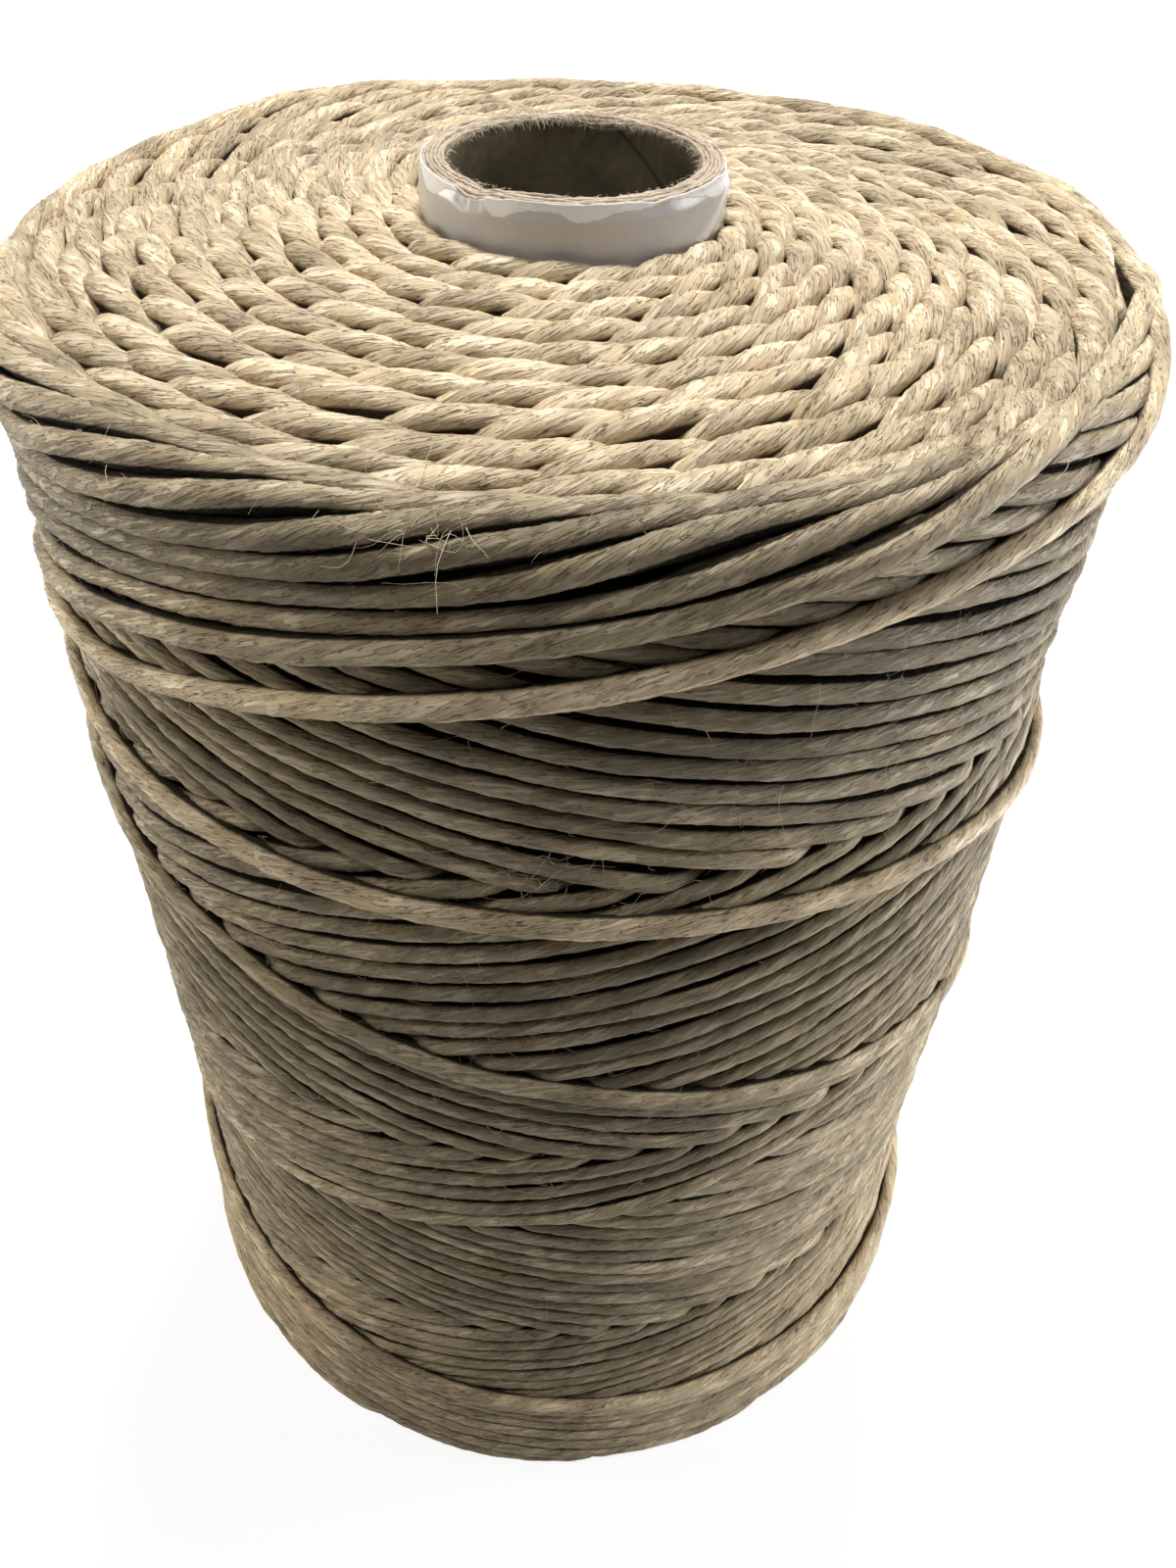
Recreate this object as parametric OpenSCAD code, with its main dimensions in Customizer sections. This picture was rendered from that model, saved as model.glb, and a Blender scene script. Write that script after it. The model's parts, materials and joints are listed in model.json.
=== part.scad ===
// Spool of thick polished twine, cross-wound without flanges on a spiral-wound cardboard tube.
// The origin is on the axis, in the plane that the spool stands on, and +Z runs up the tube.

/* [Cardboard tube] */
// Bore that the spindle of a stand or winder goes through
bore_d = 38.1; // [20:0.1:80]
// Thickness of the smooth liner ply round the bore
liner_t = 0.4; // [0.2:0.05:1]
// Thickness of each of the six board plies
board_t = 0.64; // [0.3:0.02:1.2]
// Thickness of the white paper cover
cover_t = 0.21; // [0.1:0.01:0.6]
// Height that the tube stands out above the wound twine
standout = 10; // [2:0.5:40]

/* [Wound body] */
// Diameter of the wound body under its last turns
body_d = 172.6; // [150:0.2:220]
// Height of the wound body under its last turns
body_h = 240; // [180:1:300]
// Radius of the rounded edge round the top face
shoulder_r = 9; // [5:0.5:16]
// Radius of the rounded edge round the foot
foot_r = 3; // [1:0.5:8]
// How far the body draws in at its waist
waist_in = 0.9; // [0:0.1:3]
// Height of the middle of the waist
waist_z = 62; // [50:1:80]
// How far the body draws in under the top band of turns
top_in = 2.4; // [0:0.1:5]

/* [Last turns] */
// Thickness of the twine
twine_d = 4.2; // [3:0.1:5]
// Open gap between neighbouring turns
turn_gap = 1; // [0.95:0.05:2]
// Air between the last turns and the body under them
seat_gap = 0.3; // [0.2:0.05:1]
// Height of the band of close turns below the shoulder
top_band_h = 24; // [12:1:40]
// How far the top band rises from its low side to its level middle
band_tilt = 4; // [0:0.5:4.5]
// Number of close turns round the foot
foot_turns = 4; // [2:1:8]
// Number of steep turns between the two bands
cross_turns = 2.5; // [2:0.25:5]

/* [Hidden] */
$fn = 96;

// Tube: liner, board plies and cover, each glued round the one before it
board_plies = 6;
bore_r = bore_d / 2;
board_r = bore_r + liner_t;
cover_r = board_r + board_plies * board_t;
tube_r = cover_r + cover_t;

// Twine, swept as a six-sided tube that lies on one of its flats
rings = 24;
sides = 6;
twine_r = twine_d / 2;
twine_flat = twine_r * cos(180 / sides);
lift = seat_gap + twine_flat;
pitch = twine_d + turn_gap;
winding_h = body_h + lift + twine_flat;
tube_h = winding_h + standout;

// Body outline
waist_reach = 40;
band_run = 16;
side_steps = 24;
arc_steps = 8;
shoulder_z = body_h - shoulder_r;
band_z = shoulder_z - top_band_h;

// Route of the last turns: lengths along the outline, from the tube out over the shoulder and down
first_angle = 105;
tilt_angle = -34;
first_r = tube_r + turn_gap + twine_r;
shoulder_in = outline_r(shoulder_z) - shoulder_r;
face_run = shoulder_in - first_r;
shoulder_run = (shoulder_r + lift) * PI / 2;
band_end = face_run + shoulder_run + top_band_h;
foot_clear = 0.9;
foot_end = face_run + shoulder_run + shoulder_z - twine_r - foot_clear;
foot_start = foot_end - foot_turns * pitch;
band_turn = band_end / pitch;
foot_turn = band_turn + cross_turns;
last_turn = foot_turn + foot_turns;
tilt_turn = face_run / pitch - 2;
join_ring = round(rings * face_run / pitch);
last_ring = floor(rings * last_turn);

echo(str("loops in the last turns: ", last_turn));
echo(str("least gap of face_turns to itself: ", least_gap(route(0, join_ring))));
echo(str("least gap of side_turns to itself: ", least_gap(route(join_ring, last_ring))));

// A step from 0 to 1 that starts and ends level
function ease(x) = let (u = min(1, max(0, x))) u * u * (3 - 2 * u);

// Radius of the wound body at height z, with its waist and the step in under the top band
function outline_r(z) =
    body_d / 2
    - waist_in * (1 - ease(abs(z - waist_z) / waist_reach))
    - top_in * ease((z - band_z + band_run) / band_run);

// Half outline of the wound body: foot, side, shoulder and top face
function body_outline() = concat(
    [[tube_r, 0]],
    [for (i = [0:arc_steps]) let (a = -90 + 90 * i / arc_steps)
        [outline_r(foot_r) - foot_r + foot_r * cos(a), foot_r + foot_r * sin(a)]],
    [for (i = [1:side_steps]) let (z = foot_r + (shoulder_z - foot_r) * i / side_steps)
        [outline_r(z), z]],
    [for (i = [1:arc_steps]) let (a = 90 * i / arc_steps)
        [shoulder_in + shoulder_r * cos(a), shoulder_z + shoulder_r * sin(a)]],
    [[tube_r, body_h]]
);

// Radius, height and lean of the twine's seat at a run along the outline
function seat(run) =
    run < face_run
        ? [first_r + run, body_h + lift, 90]
        : run < face_run + shoulder_run
            ? let (a = 90 - 90 * (run - face_run) / shoulder_run)
                [shoulder_in + (shoulder_r + lift) * cos(a), shoulder_z + (shoulder_r + lift) * sin(a), a]
            : let (z = shoulder_z - (run - face_run - shoulder_run))
                [outline_r(z) + lift, z, 0];

// Run along the outline after a number of turns: close turns, steep crossing turns, close turns
function turn_run(turn) =
    turn < band_turn
        ? turn * pitch
        : turn > foot_turn
            ? foot_start + (turn - foot_turn) * pitch
            : let (u = (turn - band_turn) / cross_turns, slope = pitch * cross_turns)
                band_end * (1 - ease(u)) + foot_start * ease(u)
                + slope * (2 * u * u * u - 3 * u * u + u);

// Rise of the turns on one side of the shoulder, which dies out over the steep turns
function turn_rise(turn) =
    turn < band_turn
        ? band_tilt * max(0, turn - tilt_turn) / (band_turn - tilt_turn)
        : band_tilt * (1 - ease((turn - band_turn) / cross_turns));

// Centre of the twine on a ring, with the seat's outward normal after it
function ring_seat(ring) =
    let (
        turn = ring / rings,
        angle = first_angle + 360 * turn,
        at = seat(turn_run(turn) - turn_rise(turn) * cos(angle - tilt_angle)),
        r = at[0] / cos(180 / rings)
    )
    [
        [r * cos(angle), r * sin(angle), at[1]],
        [cos(at[2]) * cos(angle), cos(at[2]) * sin(angle), sin(at[2])]
    ];

function unit(v) = v / norm(v);

// Direction of the twine at a ring
function ring_way(ring) = unit(ring_seat(ring + 0.05)[0] - ring_seat(ring - 0.05)[0]);

// Route of one stretch as [centre, normal, direction], straight for one diameter at both ends
function route(from, to) = concat(
    [end_stop(from, 0), end_stop(from, twine_d)],
    [for (i = [from + 1:to - 1])
        [ring_seat(i)[0], ring_seat(i)[1], unit(ring_seat(i + 1)[0] - ring_seat(i - 1)[0])]],
    [end_stop(to, -twine_d), end_stop(to, 0)]
);

function end_stop(ring, along) =
    let (at = ring_seat(ring), way = ring_way(ring))
    [at[0] + along * way, at[1], way];

// Least free distance between turns, measured on the rings that lie half a turn or more apart
function least_gap(stops) =
    min([for (i = [0:len(stops) - 1]) for (j = [i + rings / 2:1:len(stops) - 1])
        norm(stops[i][0] - stops[j][0])]) - twine_d;

// Corners of the twine's section round one stop of its route
function section(stop) =
    let (across = unit(cross(stop[2], stop[1])), out = cross(across, stop[2]))
    [for (k = [0:sides - 1]) let (a = 360 * k / sides)
        stop[0] + twine_r * (cos(a) * across + sin(a) * out)];

// One unbroken tube of twine along a route
module twine(stops) {
    last = len(stops) - 1;
    corners = [for (stop = stops) each section(stop)];
    walls = [for (i = [0:last - 1]) for (k = [0:sides - 1])
        let (a = i * sides + k, b = i * sides + (k + 1) % sides)
        each [[a, b, a + sides], [b, b + sides, a + sides]]];
    start = [for (k = [1:sides - 2]) [0, k + 1, k]];
    end = [for (k = [1:sides - 2]) [last * sides, last * sides + k, last * sides + k + 1]];
    polyhedron(points = corners, faces = concat(walls, start, end));
}

// A ply is a plain tube from the foot to the cut top end
module ply(inner_r, thickness) {
    difference() {
        cylinder(r = inner_r + thickness, h = tube_h);
        translate([0, 0, -1])
            cylinder(r = inner_r, h = tube_h + 2);
    }
}

module liner_ply() {
    color("#6f6354") ply(bore_r, liner_t);
}

module board_ply(n) {
    color(n % 2 == 0 ? "#8d7c68" : "#9a8974") ply(board_r + (n - 1) * board_t, board_t);
}

module cover_ply() {
    color("#dcd6d2") ply(cover_r, cover_t);
}

module wound_body() {
    color("#8f8065")
        rotate_extrude()
            polygon(body_outline());
}

module face_turns() {
    color("#dcc7a0") twine(route(0, join_ring));
}

module side_turns() {
    color("#b8a582") twine(route(join_ring, last_ring));
}

liner_ply();
board_ply(1);  // board_ply_1
board_ply(2);  // board_ply_2
board_ply(3);  // board_ply_3
board_ply(4);  // board_ply_4
board_ply(5);  // board_ply_5
board_ply(6);  // board_ply_6
cover_ply();
wound_body();
face_turns();
side_turns();
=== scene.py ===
"""Looks of a flangeless spool of thick polished twine, cross-wound on a cardboard tube.

Lengths inside the classes are millimetres, and a mesh is scaled to metres where it is made.
Angles are degrees, counted from +X towards +Y, so the front of the spool is at -90.
A run is a distance along the half outline of the winding, as the Outline class explains.
"""

import json
import logging
import math
from dataclasses import dataclass, field
from enum import Enum

import bmesh
import bpy
import numpy as np
from mathutils import Matrix, Vector

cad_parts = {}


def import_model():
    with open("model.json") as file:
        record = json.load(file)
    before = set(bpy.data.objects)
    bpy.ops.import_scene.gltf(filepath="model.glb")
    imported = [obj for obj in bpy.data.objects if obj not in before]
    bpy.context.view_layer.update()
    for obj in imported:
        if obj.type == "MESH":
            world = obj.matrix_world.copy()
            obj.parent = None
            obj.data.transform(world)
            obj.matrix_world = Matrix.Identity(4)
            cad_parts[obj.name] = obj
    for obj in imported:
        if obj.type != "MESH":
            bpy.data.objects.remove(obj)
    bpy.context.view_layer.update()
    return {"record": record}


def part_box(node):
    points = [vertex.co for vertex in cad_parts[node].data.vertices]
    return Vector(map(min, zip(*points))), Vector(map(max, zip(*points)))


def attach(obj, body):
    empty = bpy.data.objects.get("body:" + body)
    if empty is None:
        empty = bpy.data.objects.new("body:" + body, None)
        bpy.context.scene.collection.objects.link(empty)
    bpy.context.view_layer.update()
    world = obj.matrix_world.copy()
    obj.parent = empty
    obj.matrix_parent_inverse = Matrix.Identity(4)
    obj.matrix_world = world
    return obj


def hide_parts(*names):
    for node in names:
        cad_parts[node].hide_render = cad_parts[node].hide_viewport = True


LOG = logging.getLogger("spool")
MM = 0.001
BODY = "root"
TWINE = "twine"
UV_NAME = "ply"
UV_PER_MM = 0.1
UV_SHIFT = 7.0
CORNERS = 12
PLIES = 6
BOARD_PLIES = 6
SIDE_PIECES = 4
ANY_TWIST = (0.0, 6.28)

Triple = tuple[float, float, float]
Thread = tuple[np.ndarray, float]


class Side(Enum):
    """Which end face of the wound body a ring of turns lies on."""

    TOP = 1
    FOOT = -1


class Stroke(Enum):
    """Direction of a stroke of the winding, seen going round to the right."""

    UP = 1
    DOWN = -1


def ease(x: np.ndarray) -> np.ndarray:
    """Returns a step from 0 to 1 that starts and ends level."""
    u = np.clip(x, 0.0, 1.0)
    return u * u * (3.0 - 2.0 * u)


def hill(x: np.ndarray, middle: float, reach: float) -> np.ndarray:
    """Returns a smooth hill of height 1 at its middle, which dies out past its reach."""
    return np.exp(-((x - middle) / reach) ** 2)


def apart(angle: np.ndarray, middle: float) -> np.ndarray:
    """Returns how far each angle lies from a middle one, the short way round."""
    return np.abs(np.mod(angle - middle + 180.0, 360.0) - 180.0)


def frontness(angle: np.ndarray) -> np.ndarray:
    """Returns 1 at the front, 0 at the back and an even swing between them."""
    return 0.5 - 0.5 * np.sin(np.radians(angle))


def wander(rng: np.random.Generator, along: np.ndarray, size: float, wave: float) -> np.ndarray:
    """Gives a slow, smooth, random deviation along a strand.

    Args:
        rng: Source of the random phases.
        along: Distance along the strand.
        size: Typical size of the deviation.
        wave: Length of its longest wave.

    Returns:
        The deviation at each distance.
    """
    total = np.zeros_like(along)
    for step in (1.0, 0.57, 0.31):
        phase = rng.uniform(0.0, math.tau)
        total += step * np.sin(math.tau * along / (wave * step) + phase)
    return size * total / 1.4


@dataclass(frozen=True)
class Sector:
    """A stretch of the way round the spool: its middle, its reach to each side and the fade beyond."""

    middle: float
    reach: float
    fade: float

    def part(self, angle: np.ndarray | float) -> np.ndarray:
        """Returns 1 at angles inside the sector, fading to 0 beyond it."""
        return ease((self.reach + self.fade - apart(angle, self.middle)) / self.fade)


@dataclass(frozen=True)
class PaintedShadow:
    """A patch of painted shadow on the side of the winding, round one angle and one run."""

    sector: Sector
    run: float
    reach: float
    depth: float

    def part(self, run: np.ndarray, angle: np.ndarray) -> np.ndarray:
        """Returns how much tone the patch takes away at each place."""
        return self.depth * self.sector.part(angle) * hill(run, self.run, self.reach)


# Where the newest reversals slant over the rim, and the sector that lies away from them
SLANT = Sector(-115.0, 35.0, 20.0)
BACK = Sector(100.0, 85.0, 30.0)

# Two places where the rim of the top face stands up a little
RISE_RIGHT = Sector(32.0, 12.0, 18.0)
RISE_LEFT = Sector(127.0, 8.0, 16.0)


def add_object(name: str, data: bpy.types.ID) -> bpy.types.Object:
    """Puts a mesh, curve, camera or light into the scene.

    Args:
        name: Name of the new object.
        data: What the object shows.

    Returns:
        The new object.
    """
    thing = bpy.data.objects.new(name, data)
    bpy.context.scene.collection.objects.link(thing)
    return thing


def read_points(mesh: bpy.types.Mesh) -> np.ndarray:
    """Reads the points of a mesh.

    Args:
        mesh: The mesh, in metres.

    Returns:
        Its points in millimetres, one to a row.
    """
    points = np.empty(len(mesh.vertices) * 3)
    mesh.vertices.foreach_get("co", points)
    return points.reshape(-1, 3) / MM


def write_points(mesh: bpy.types.Mesh, points: np.ndarray) -> None:
    """Writes points in millimetres back to a mesh."""
    mesh.vertices.foreach_set("co", (points * MM).astype(np.float32).ravel())
    mesh.update()


def add_looks(mesh: bpy.types.Mesh, looks: dict[str, np.ndarray]) -> None:
    """Gives a mesh values that its material reads.

    Args:
        mesh: The mesh.
        looks: Name of each attribute, and its value at every vertex.
    """
    for key, values in looks.items():
        attribute = mesh.attributes.new(key, "FLOAT", "POINT")
        attribute.data.foreach_set("value", values.astype(np.float32))


def dress(piece: bpy.types.Object, material: bpy.types.Material, slot: str, *nodes: str) -> None:
    """Gives a piece its material and body, and hides the nodes that it replaces.

    Args:
        piece: The new piece.
        material: Its material.
        slot: The record's material slot; not used.
        *nodes: CAD nodes that it replaces.
    """
    piece.data.materials.clear()
    piece.data.materials.append(material)
    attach(piece, BODY)
    if nodes:
        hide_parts(*nodes)
    count = sum(len(p.vertices) - 2 for p in piece.data.polygons)
    LOG.info("%s: %d triangles", piece.name, count)


class Graph:
    """A short way to write a material's nodes."""

    def __init__(self, name: str) -> None:
        """Starts an empty material.

        Args:
            name: Name of the new material.
        """
        self.material = bpy.data.materials.new(name)
        self.material.use_nodes = True
        self._take(self.material.node_tree)

    @classmethod
    def of_tree(cls, tree: bpy.types.NodeTree) -> "Graph":
        """Starts a graph that writes into a tree that isn't a material's.

        Args:
            tree: The tree, which is emptied.

        Returns:
            The graph.
        """
        graph = cls.__new__(cls)
        graph._take(tree)
        return graph

    def _take(self, tree: bpy.types.NodeTree) -> None:
        """Empties a tree and works in it from now on.

        Args:
            tree: The tree.
        """
        self.nodes = tree.nodes
        self.links = tree.links
        self.nodes.clear()

    def add(self, kind: str, **settings: object) -> bpy.types.Node:
        """Adds a node.

        Args:
            kind: Type of the node.
            **settings: Values of its properties.

        Returns:
            The node.
        """
        node = self.nodes.new(kind)
        for key, value in settings.items():
            setattr(node, key, value)
        return node

    def link(self, source: object, target: bpy.types.NodeSocket) -> None:
        """Links a socket to another, or sets a plain value on it.

        Args:
            source: A socket, a colour or a number.
            target: The input that it goes to.
        """
        if isinstance(source, bpy.types.NodeSocket):
            self.links.new(source, target)
        elif isinstance(source, tuple) and target.type == "RGBA":
            target.default_value = (*source, 1.0)
        else:
            target.default_value = source

    def place(self) -> bpy.types.NodeSocket:
        """Returns the coordinate on the object."""
        return self.add("ShaderNodeTexCoord").outputs["Object"]

    def attribute(self, name: str) -> bpy.types.NodeSocket:
        """Returns the value of a mesh attribute."""
        return self.add("ShaderNodeAttribute", attribute_name=name).outputs["Fac"]

    def seen_ray(self) -> bpy.types.NodeSocket:
        """Tells the rays that look from the rays that only carry light.

        Returns:
            1 for rays that show a surface directly, in a mirror or through glass, and 0 for others.
        """
        path = self.add("ShaderNodeLightPath")
        shiny = self.math("MAXIMUM", path.outputs["Is Glossy Ray"], path.outputs["Is Transmission Ray"])
        return self.math("MAXIMUM", path.outputs["Is Camera Ray"], shiny)

    def math(self, operation: str, a: object, b: object = 0.0) -> bpy.types.NodeSocket:
        """Does one math operation.

        Args:
            operation: Name of the operation.
            a: The first value.
            b: The second value, where the operation has one.

        Returns:
            The result.
        """
        node = self.add("ShaderNodeMath", operation=operation)
        self.link(a, node.inputs[0])
        self.link(b, node.inputs[1])
        return node.outputs[0]

    def plus(self, a: object, b: object) -> bpy.types.NodeSocket:
        """Returns the sum of two values."""
        return self.math("ADD", a, b)

    def minus(self, a: object, b: object) -> bpy.types.NodeSocket:
        """Returns the first value less the second."""
        return self.math("SUBTRACT", a, b)

    def times(self, a: object, b: object) -> bpy.types.NodeSocket:
        """Returns the product of two values."""
        return self.math("MULTIPLY", a, b)

    def size(self, a: object) -> bpy.types.NodeSocket:
        """Returns a value without its sign."""
        return self.math("ABSOLUTE", a)

    def ramp(self, value: object, low: float, high: float, start: float,
             end: float) -> bpy.types.NodeSocket:
        """Maps a value from one range to another, eased and held at both ends.

        Args:
            value: The value.
            low: Value at which the ramp starts.
            high: Value at which it ends.
            start: Result at its start.
            end: Result at its end.

        Returns:
            The result.
        """
        node = self.add("ShaderNodeMapRange", interpolation_type="SMOOTHSTEP")
        for socket, number in zip(node.inputs, (value, low, high, start, end)):
            self.link(number, socket)
        return node.outputs["Result"]

    def mix(self, part: object, a: object, b: object) -> bpy.types.NodeSocket:
        """Mixes two colours.

        Args:
            part: Share of the second colour.
            a: The first colour.
            b: The second colour.

        Returns:
            The mixed colour.
        """
        node = self.add("ShaderNodeMix", data_type="RGBA")
        for key, source in (("Factor_Float", part), ("A_Color", a), ("B_Color", b)):
            self.link(source, next(s for s in node.inputs if s.identifier == key))
        return next(s for s in node.outputs if s.identifier == "Result_Color")

    def scale_colour(self, colour: object, factor: object) -> bpy.types.NodeSocket:
        """Multiplies a colour by a number.

        Args:
            colour: The colour.
            factor: The number.

        Returns:
            The lighter or darker colour.
        """
        node = self.add("ShaderNodeVectorMath", operation="SCALE")
        self.link(colour, node.inputs[0])
        self.link(factor, node.inputs["Scale"])
        return node.outputs[0]

    def stretch(self, vector: bpy.types.NodeSocket, scale: Triple) -> bpy.types.NodeSocket:
        """Scales a coordinate by a different factor on each axis.

        Args:
            vector: The coordinate.
            scale: The three factors.

        Returns:
            The scaled coordinate.
        """
        node = self.add("ShaderNodeVectorMath", operation="MULTIPLY")
        self.link(vector, node.inputs[0])
        node.inputs[1].default_value = scale
        return node.outputs[0]

    def axis(self, vector: bpy.types.NodeSocket, name: str) -> bpy.types.NodeSocket:
        """Takes one component of a coordinate.

        Args:
            vector: The coordinate.
            name: Name of the axis, such as X.

        Returns:
            The component.
        """
        node = self.add("ShaderNodeSeparateXYZ")
        self.link(vector, node.inputs[0])
        return node.outputs[name]

    def noise(self, vector: bpy.types.NodeSocket, scale: float, detail: float) -> bpy.types.NodeSocket:
        """Makes a noise.

        Args:
            vector: The coordinate that it lies in.
            scale: How many cells it has in one unit.
            detail: How many finer layers it has.

        Returns:
            A value between 0 and 1.
        """
        node = self.add("ShaderNodeTexNoise")
        self.link(vector, node.inputs["Vector"])
        node.inputs["Scale"].default_value = scale
        node.inputs["Detail"].default_value = detail
        return node.outputs[0]

    def bump(self, height: bpy.types.NodeSocket, strength: float, distance: float) -> bpy.types.NodeSocket:
        """Raises the surface by a height.

        Args:
            height: The height, from 0 to about 1.
            strength: Share of the effect.
            distance: Real height in metres where the height is 1.

        Returns:
            The normal of the raised surface.
        """
        node = self.add("ShaderNodeBump")
        node.inputs["Strength"].default_value = strength
        node.inputs["Distance"].default_value = distance
        self.link(height, node.inputs["Height"])
        return node.outputs[0]

    def principled(self) -> bpy.types.Node:
        """Adds the Principled shader and the output.

        Returns:
            The shader.
        """
        shader = self.add("ShaderNodeBsdfPrincipled")
        output = self.add("ShaderNodeOutputMaterial")
        self.links.new(shader.outputs[0], output.inputs[0])
        return shader


@dataclass(frozen=True)
class FibreMasks:
    """Values that the twine's colour and relief share, made from noises that run along the fibres."""

    flakes: bpy.types.NodeSocket
    threads: bpy.types.NodeSocket
    clouds: bpy.types.NodeSocket
    layer: bpy.types.NodeSocket
    edge: bpy.types.NodeSocket
    groove: bpy.types.NodeSocket
    dash: bpy.types.NodeSocket


@dataclass(frozen=True)
class TwineFinish:
    """Polished natural twine: flat fibre flakes along the plies, dark dashes, straw patches, soft sheen."""

    fresh: Triple = (0.668, 0.526, 0.338)
    # The worn colour stands partly for real rubbing and dirt and partly for painted shade on the side turns.
    worn_and_shaded: Triple = (0.276, 0.230, 0.138)
    pale: Triple = (0.870, 0.750, 0.548)
    straw: Triple = (0.660, 0.480, 0.240)
    fleck: Triple = (0.130, 0.075, 0.034)
    straw_scale: float = 48.0
    straw_part: float = 0.30
    flake_scale: Triple = (2.7, 2.8, 2.8)
    thread_scale: Triple = (2.3, 7.5, 7.5)
    cloud_scale: Triple = (1.0, 0.6, 0.6)
    dash_scale: Triple = (5.5, 8.0, 8.0)
    roughness: float = 0.50
    specular: float = 0.20
    sheen: float = 0.03
    sheen_roughness: float = 0.45
    relief_strength: float = 0.85
    relief_height: float = 0.00034
    # Painted shade: where the deep attribute passes these values, the flanks between neighbouring turns are
    # darkened.
    painted_shade_from: float = 0.248
    painted_shade_to: float = 0.350
    painted_shade_most: float = 0.94
    groove_width: float = 0.22

    def material(self) -> bpy.types.Material:
        """Builds the twine's material.

        Returns:
            The material, which reads the ply map and the tone, wear and deep attributes, and paints shade
            between turns from deep.
        """
        graph = Graph("polished_twine")
        deep = graph.ramp(graph.attribute("deep"), self.painted_shade_from, self.painted_shade_to, 0.0, self.painted_shade_most)
        masks = self._masks(graph)
        shader = graph.principled()
        graph.link(self._colour(graph, masks, deep), shader.inputs["Base Color"])
        relief = graph.bump(self._relief(graph, masks), self.relief_strength, self.relief_height)
        graph.link(relief, shader.inputs["Normal"])
        gloss = graph.ramp(masks.flakes, 0.40, 0.70, self.roughness + 0.12, self.roughness - 0.10)
        graph.link(gloss, shader.inputs["Roughness"])
        # Painted shade between turns also takes away the specular.
        shine = graph.times(graph.minus(1.0, deep), self.specular)
        graph.link(shine, shader.inputs["Specular IOR Level"])
        shader.inputs["Sheen Weight"].default_value = self.sheen
        shader.inputs["Sheen Roughness"].default_value = self.sheen_roughness
        return graph.material

    def _masks(self, graph: Graph) -> FibreMasks:
        """Makes the noises along the fibres and the masks that follow from them.

        Args:
            graph: The material's graph.

        Returns:
            The noises and masks.
        """
        uv = graph.add("ShaderNodeUVMap", uv_map=UV_NAME).outputs["UV"]
        fibre = self._fibre_space(graph, uv)
        flakes = graph.noise(graph.stretch(fibre, self.flake_scale), scale=1.0, detail=5.0)
        threads = graph.noise(graph.stretch(fibre, self.thread_scale), scale=1.0, detail=3.0)
        clouds = graph.noise(graph.stretch(fibre, self.cloud_scale), scale=1.0, detail=3.0)
        dashes = graph.noise(graph.stretch(fibre, self.dash_scale), scale=1.0, detail=1.0)
        layer = graph.ramp(flakes, 0.47, 0.54, 0.0, 1.0)
        edge = graph.ramp(graph.size(graph.minus(flakes, 0.49)), 0.0, 0.022, 1.0, 0.0)
        edge = graph.times(edge, graph.ramp(threads, 0.42, 0.58, 0.0, 0.75))
        groove = self._groove(graph, uv)
        bunch = graph.ramp(clouds, 0.36, 0.60, 0.050, -0.040)
        close = graph.plus(dashes, graph.plus(graph.times(groove, 0.070), bunch))
        dash = graph.ramp(close, 0.665, 0.71, 0.0, 0.85)
        return FibreMasks(flakes, threads, clouds, layer, edge, groove, dash)

    def _colour(self, graph: Graph, masks: FibreMasks, deep: bpy.types.NodeSocket) -> bpy.types.NodeSocket:
        """Mixes the twine's colour.

        Args:
            graph: The material's graph.
            masks: The noises and masks.
            deep: How much painted shade darkens the twine between neighbouring turns.

        Returns:
            The colour.
        """
        wear_and_shade = graph.attribute("wear_and_shade")
        base = graph.mix(wear_and_shade, self.fresh, self.worn_and_shaded)
        patches = graph.noise(graph.place(), scale=self.straw_scale, detail=3.0)
        base = graph.mix(graph.ramp(patches, 0.54, 0.76, 0.0, self.straw_part), base, self.straw)
        part = graph.times(masks.layer, graph.ramp(masks.clouds, 0.38, 0.66, 0.04, 0.55))
        part = graph.times(part, graph.minus(1.0, graph.times(wear_and_shade, 0.55)))
        base = graph.mix(part, base, self.pale)
        light = graph.times(graph.ramp(masks.threads, 0.32, 0.68, 0.84, 1.09), graph.attribute("tone"))
        light = graph.times(light, graph.ramp(masks.clouds, 0.32, 0.64, 0.76, 1.10))
        light = graph.times(light, graph.ramp(masks.flakes, 0.26, 0.46, 0.82, 1.0))
        # Painted shade between neighbouring turns darkens the colour.
        light = graph.times(light, graph.minus(1.0, deep))
        base = graph.scale_colour(base, light)
        base = graph.mix(masks.edge, base, graph.scale_colour(self.fleck, graph.plus(light, 0.4)))
        return graph.mix(masks.dash, base, self.fleck)

    @staticmethod
    def _relief(graph: Graph, masks: FibreMasks) -> bpy.types.NodeSocket:
        """Makes the height of the fibres.

        Args:
            graph: The material's graph.
            masks: The noises and masks.

        Returns:
            The height.
        """
        relief = graph.plus(graph.times(masks.threads, 0.6), graph.times(masks.layer, 0.45))
        relief = graph.plus(relief, masks.flakes)
        relief = graph.minus(relief, graph.plus(graph.times(masks.groove, 0.22), masks.dash))
        return graph.minus(relief, graph.times(masks.edge, 0.5))

    @staticmethod
    def _fibre_space(graph: Graph, uv: bpy.types.NodeSocket) -> bpy.types.NodeSocket:
        """Makes a coordinate that runs along the plies and closes round the strand without a seam.

        Args:
            graph: The material's graph.
            uv: The ply map.

        Returns:
            The coordinate.
        """
        turn = graph.times(graph.axis(uv, "Y"), math.tau)
        node = graph.add("ShaderNodeCombineXYZ")
        graph.link(graph.axis(uv, "X"), node.inputs["X"])
        graph.link(graph.math("COSINE", turn), node.inputs["Y"])
        graph.link(graph.math("SINE", turn), node.inputs["Z"])
        return node.outputs[0]

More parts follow.
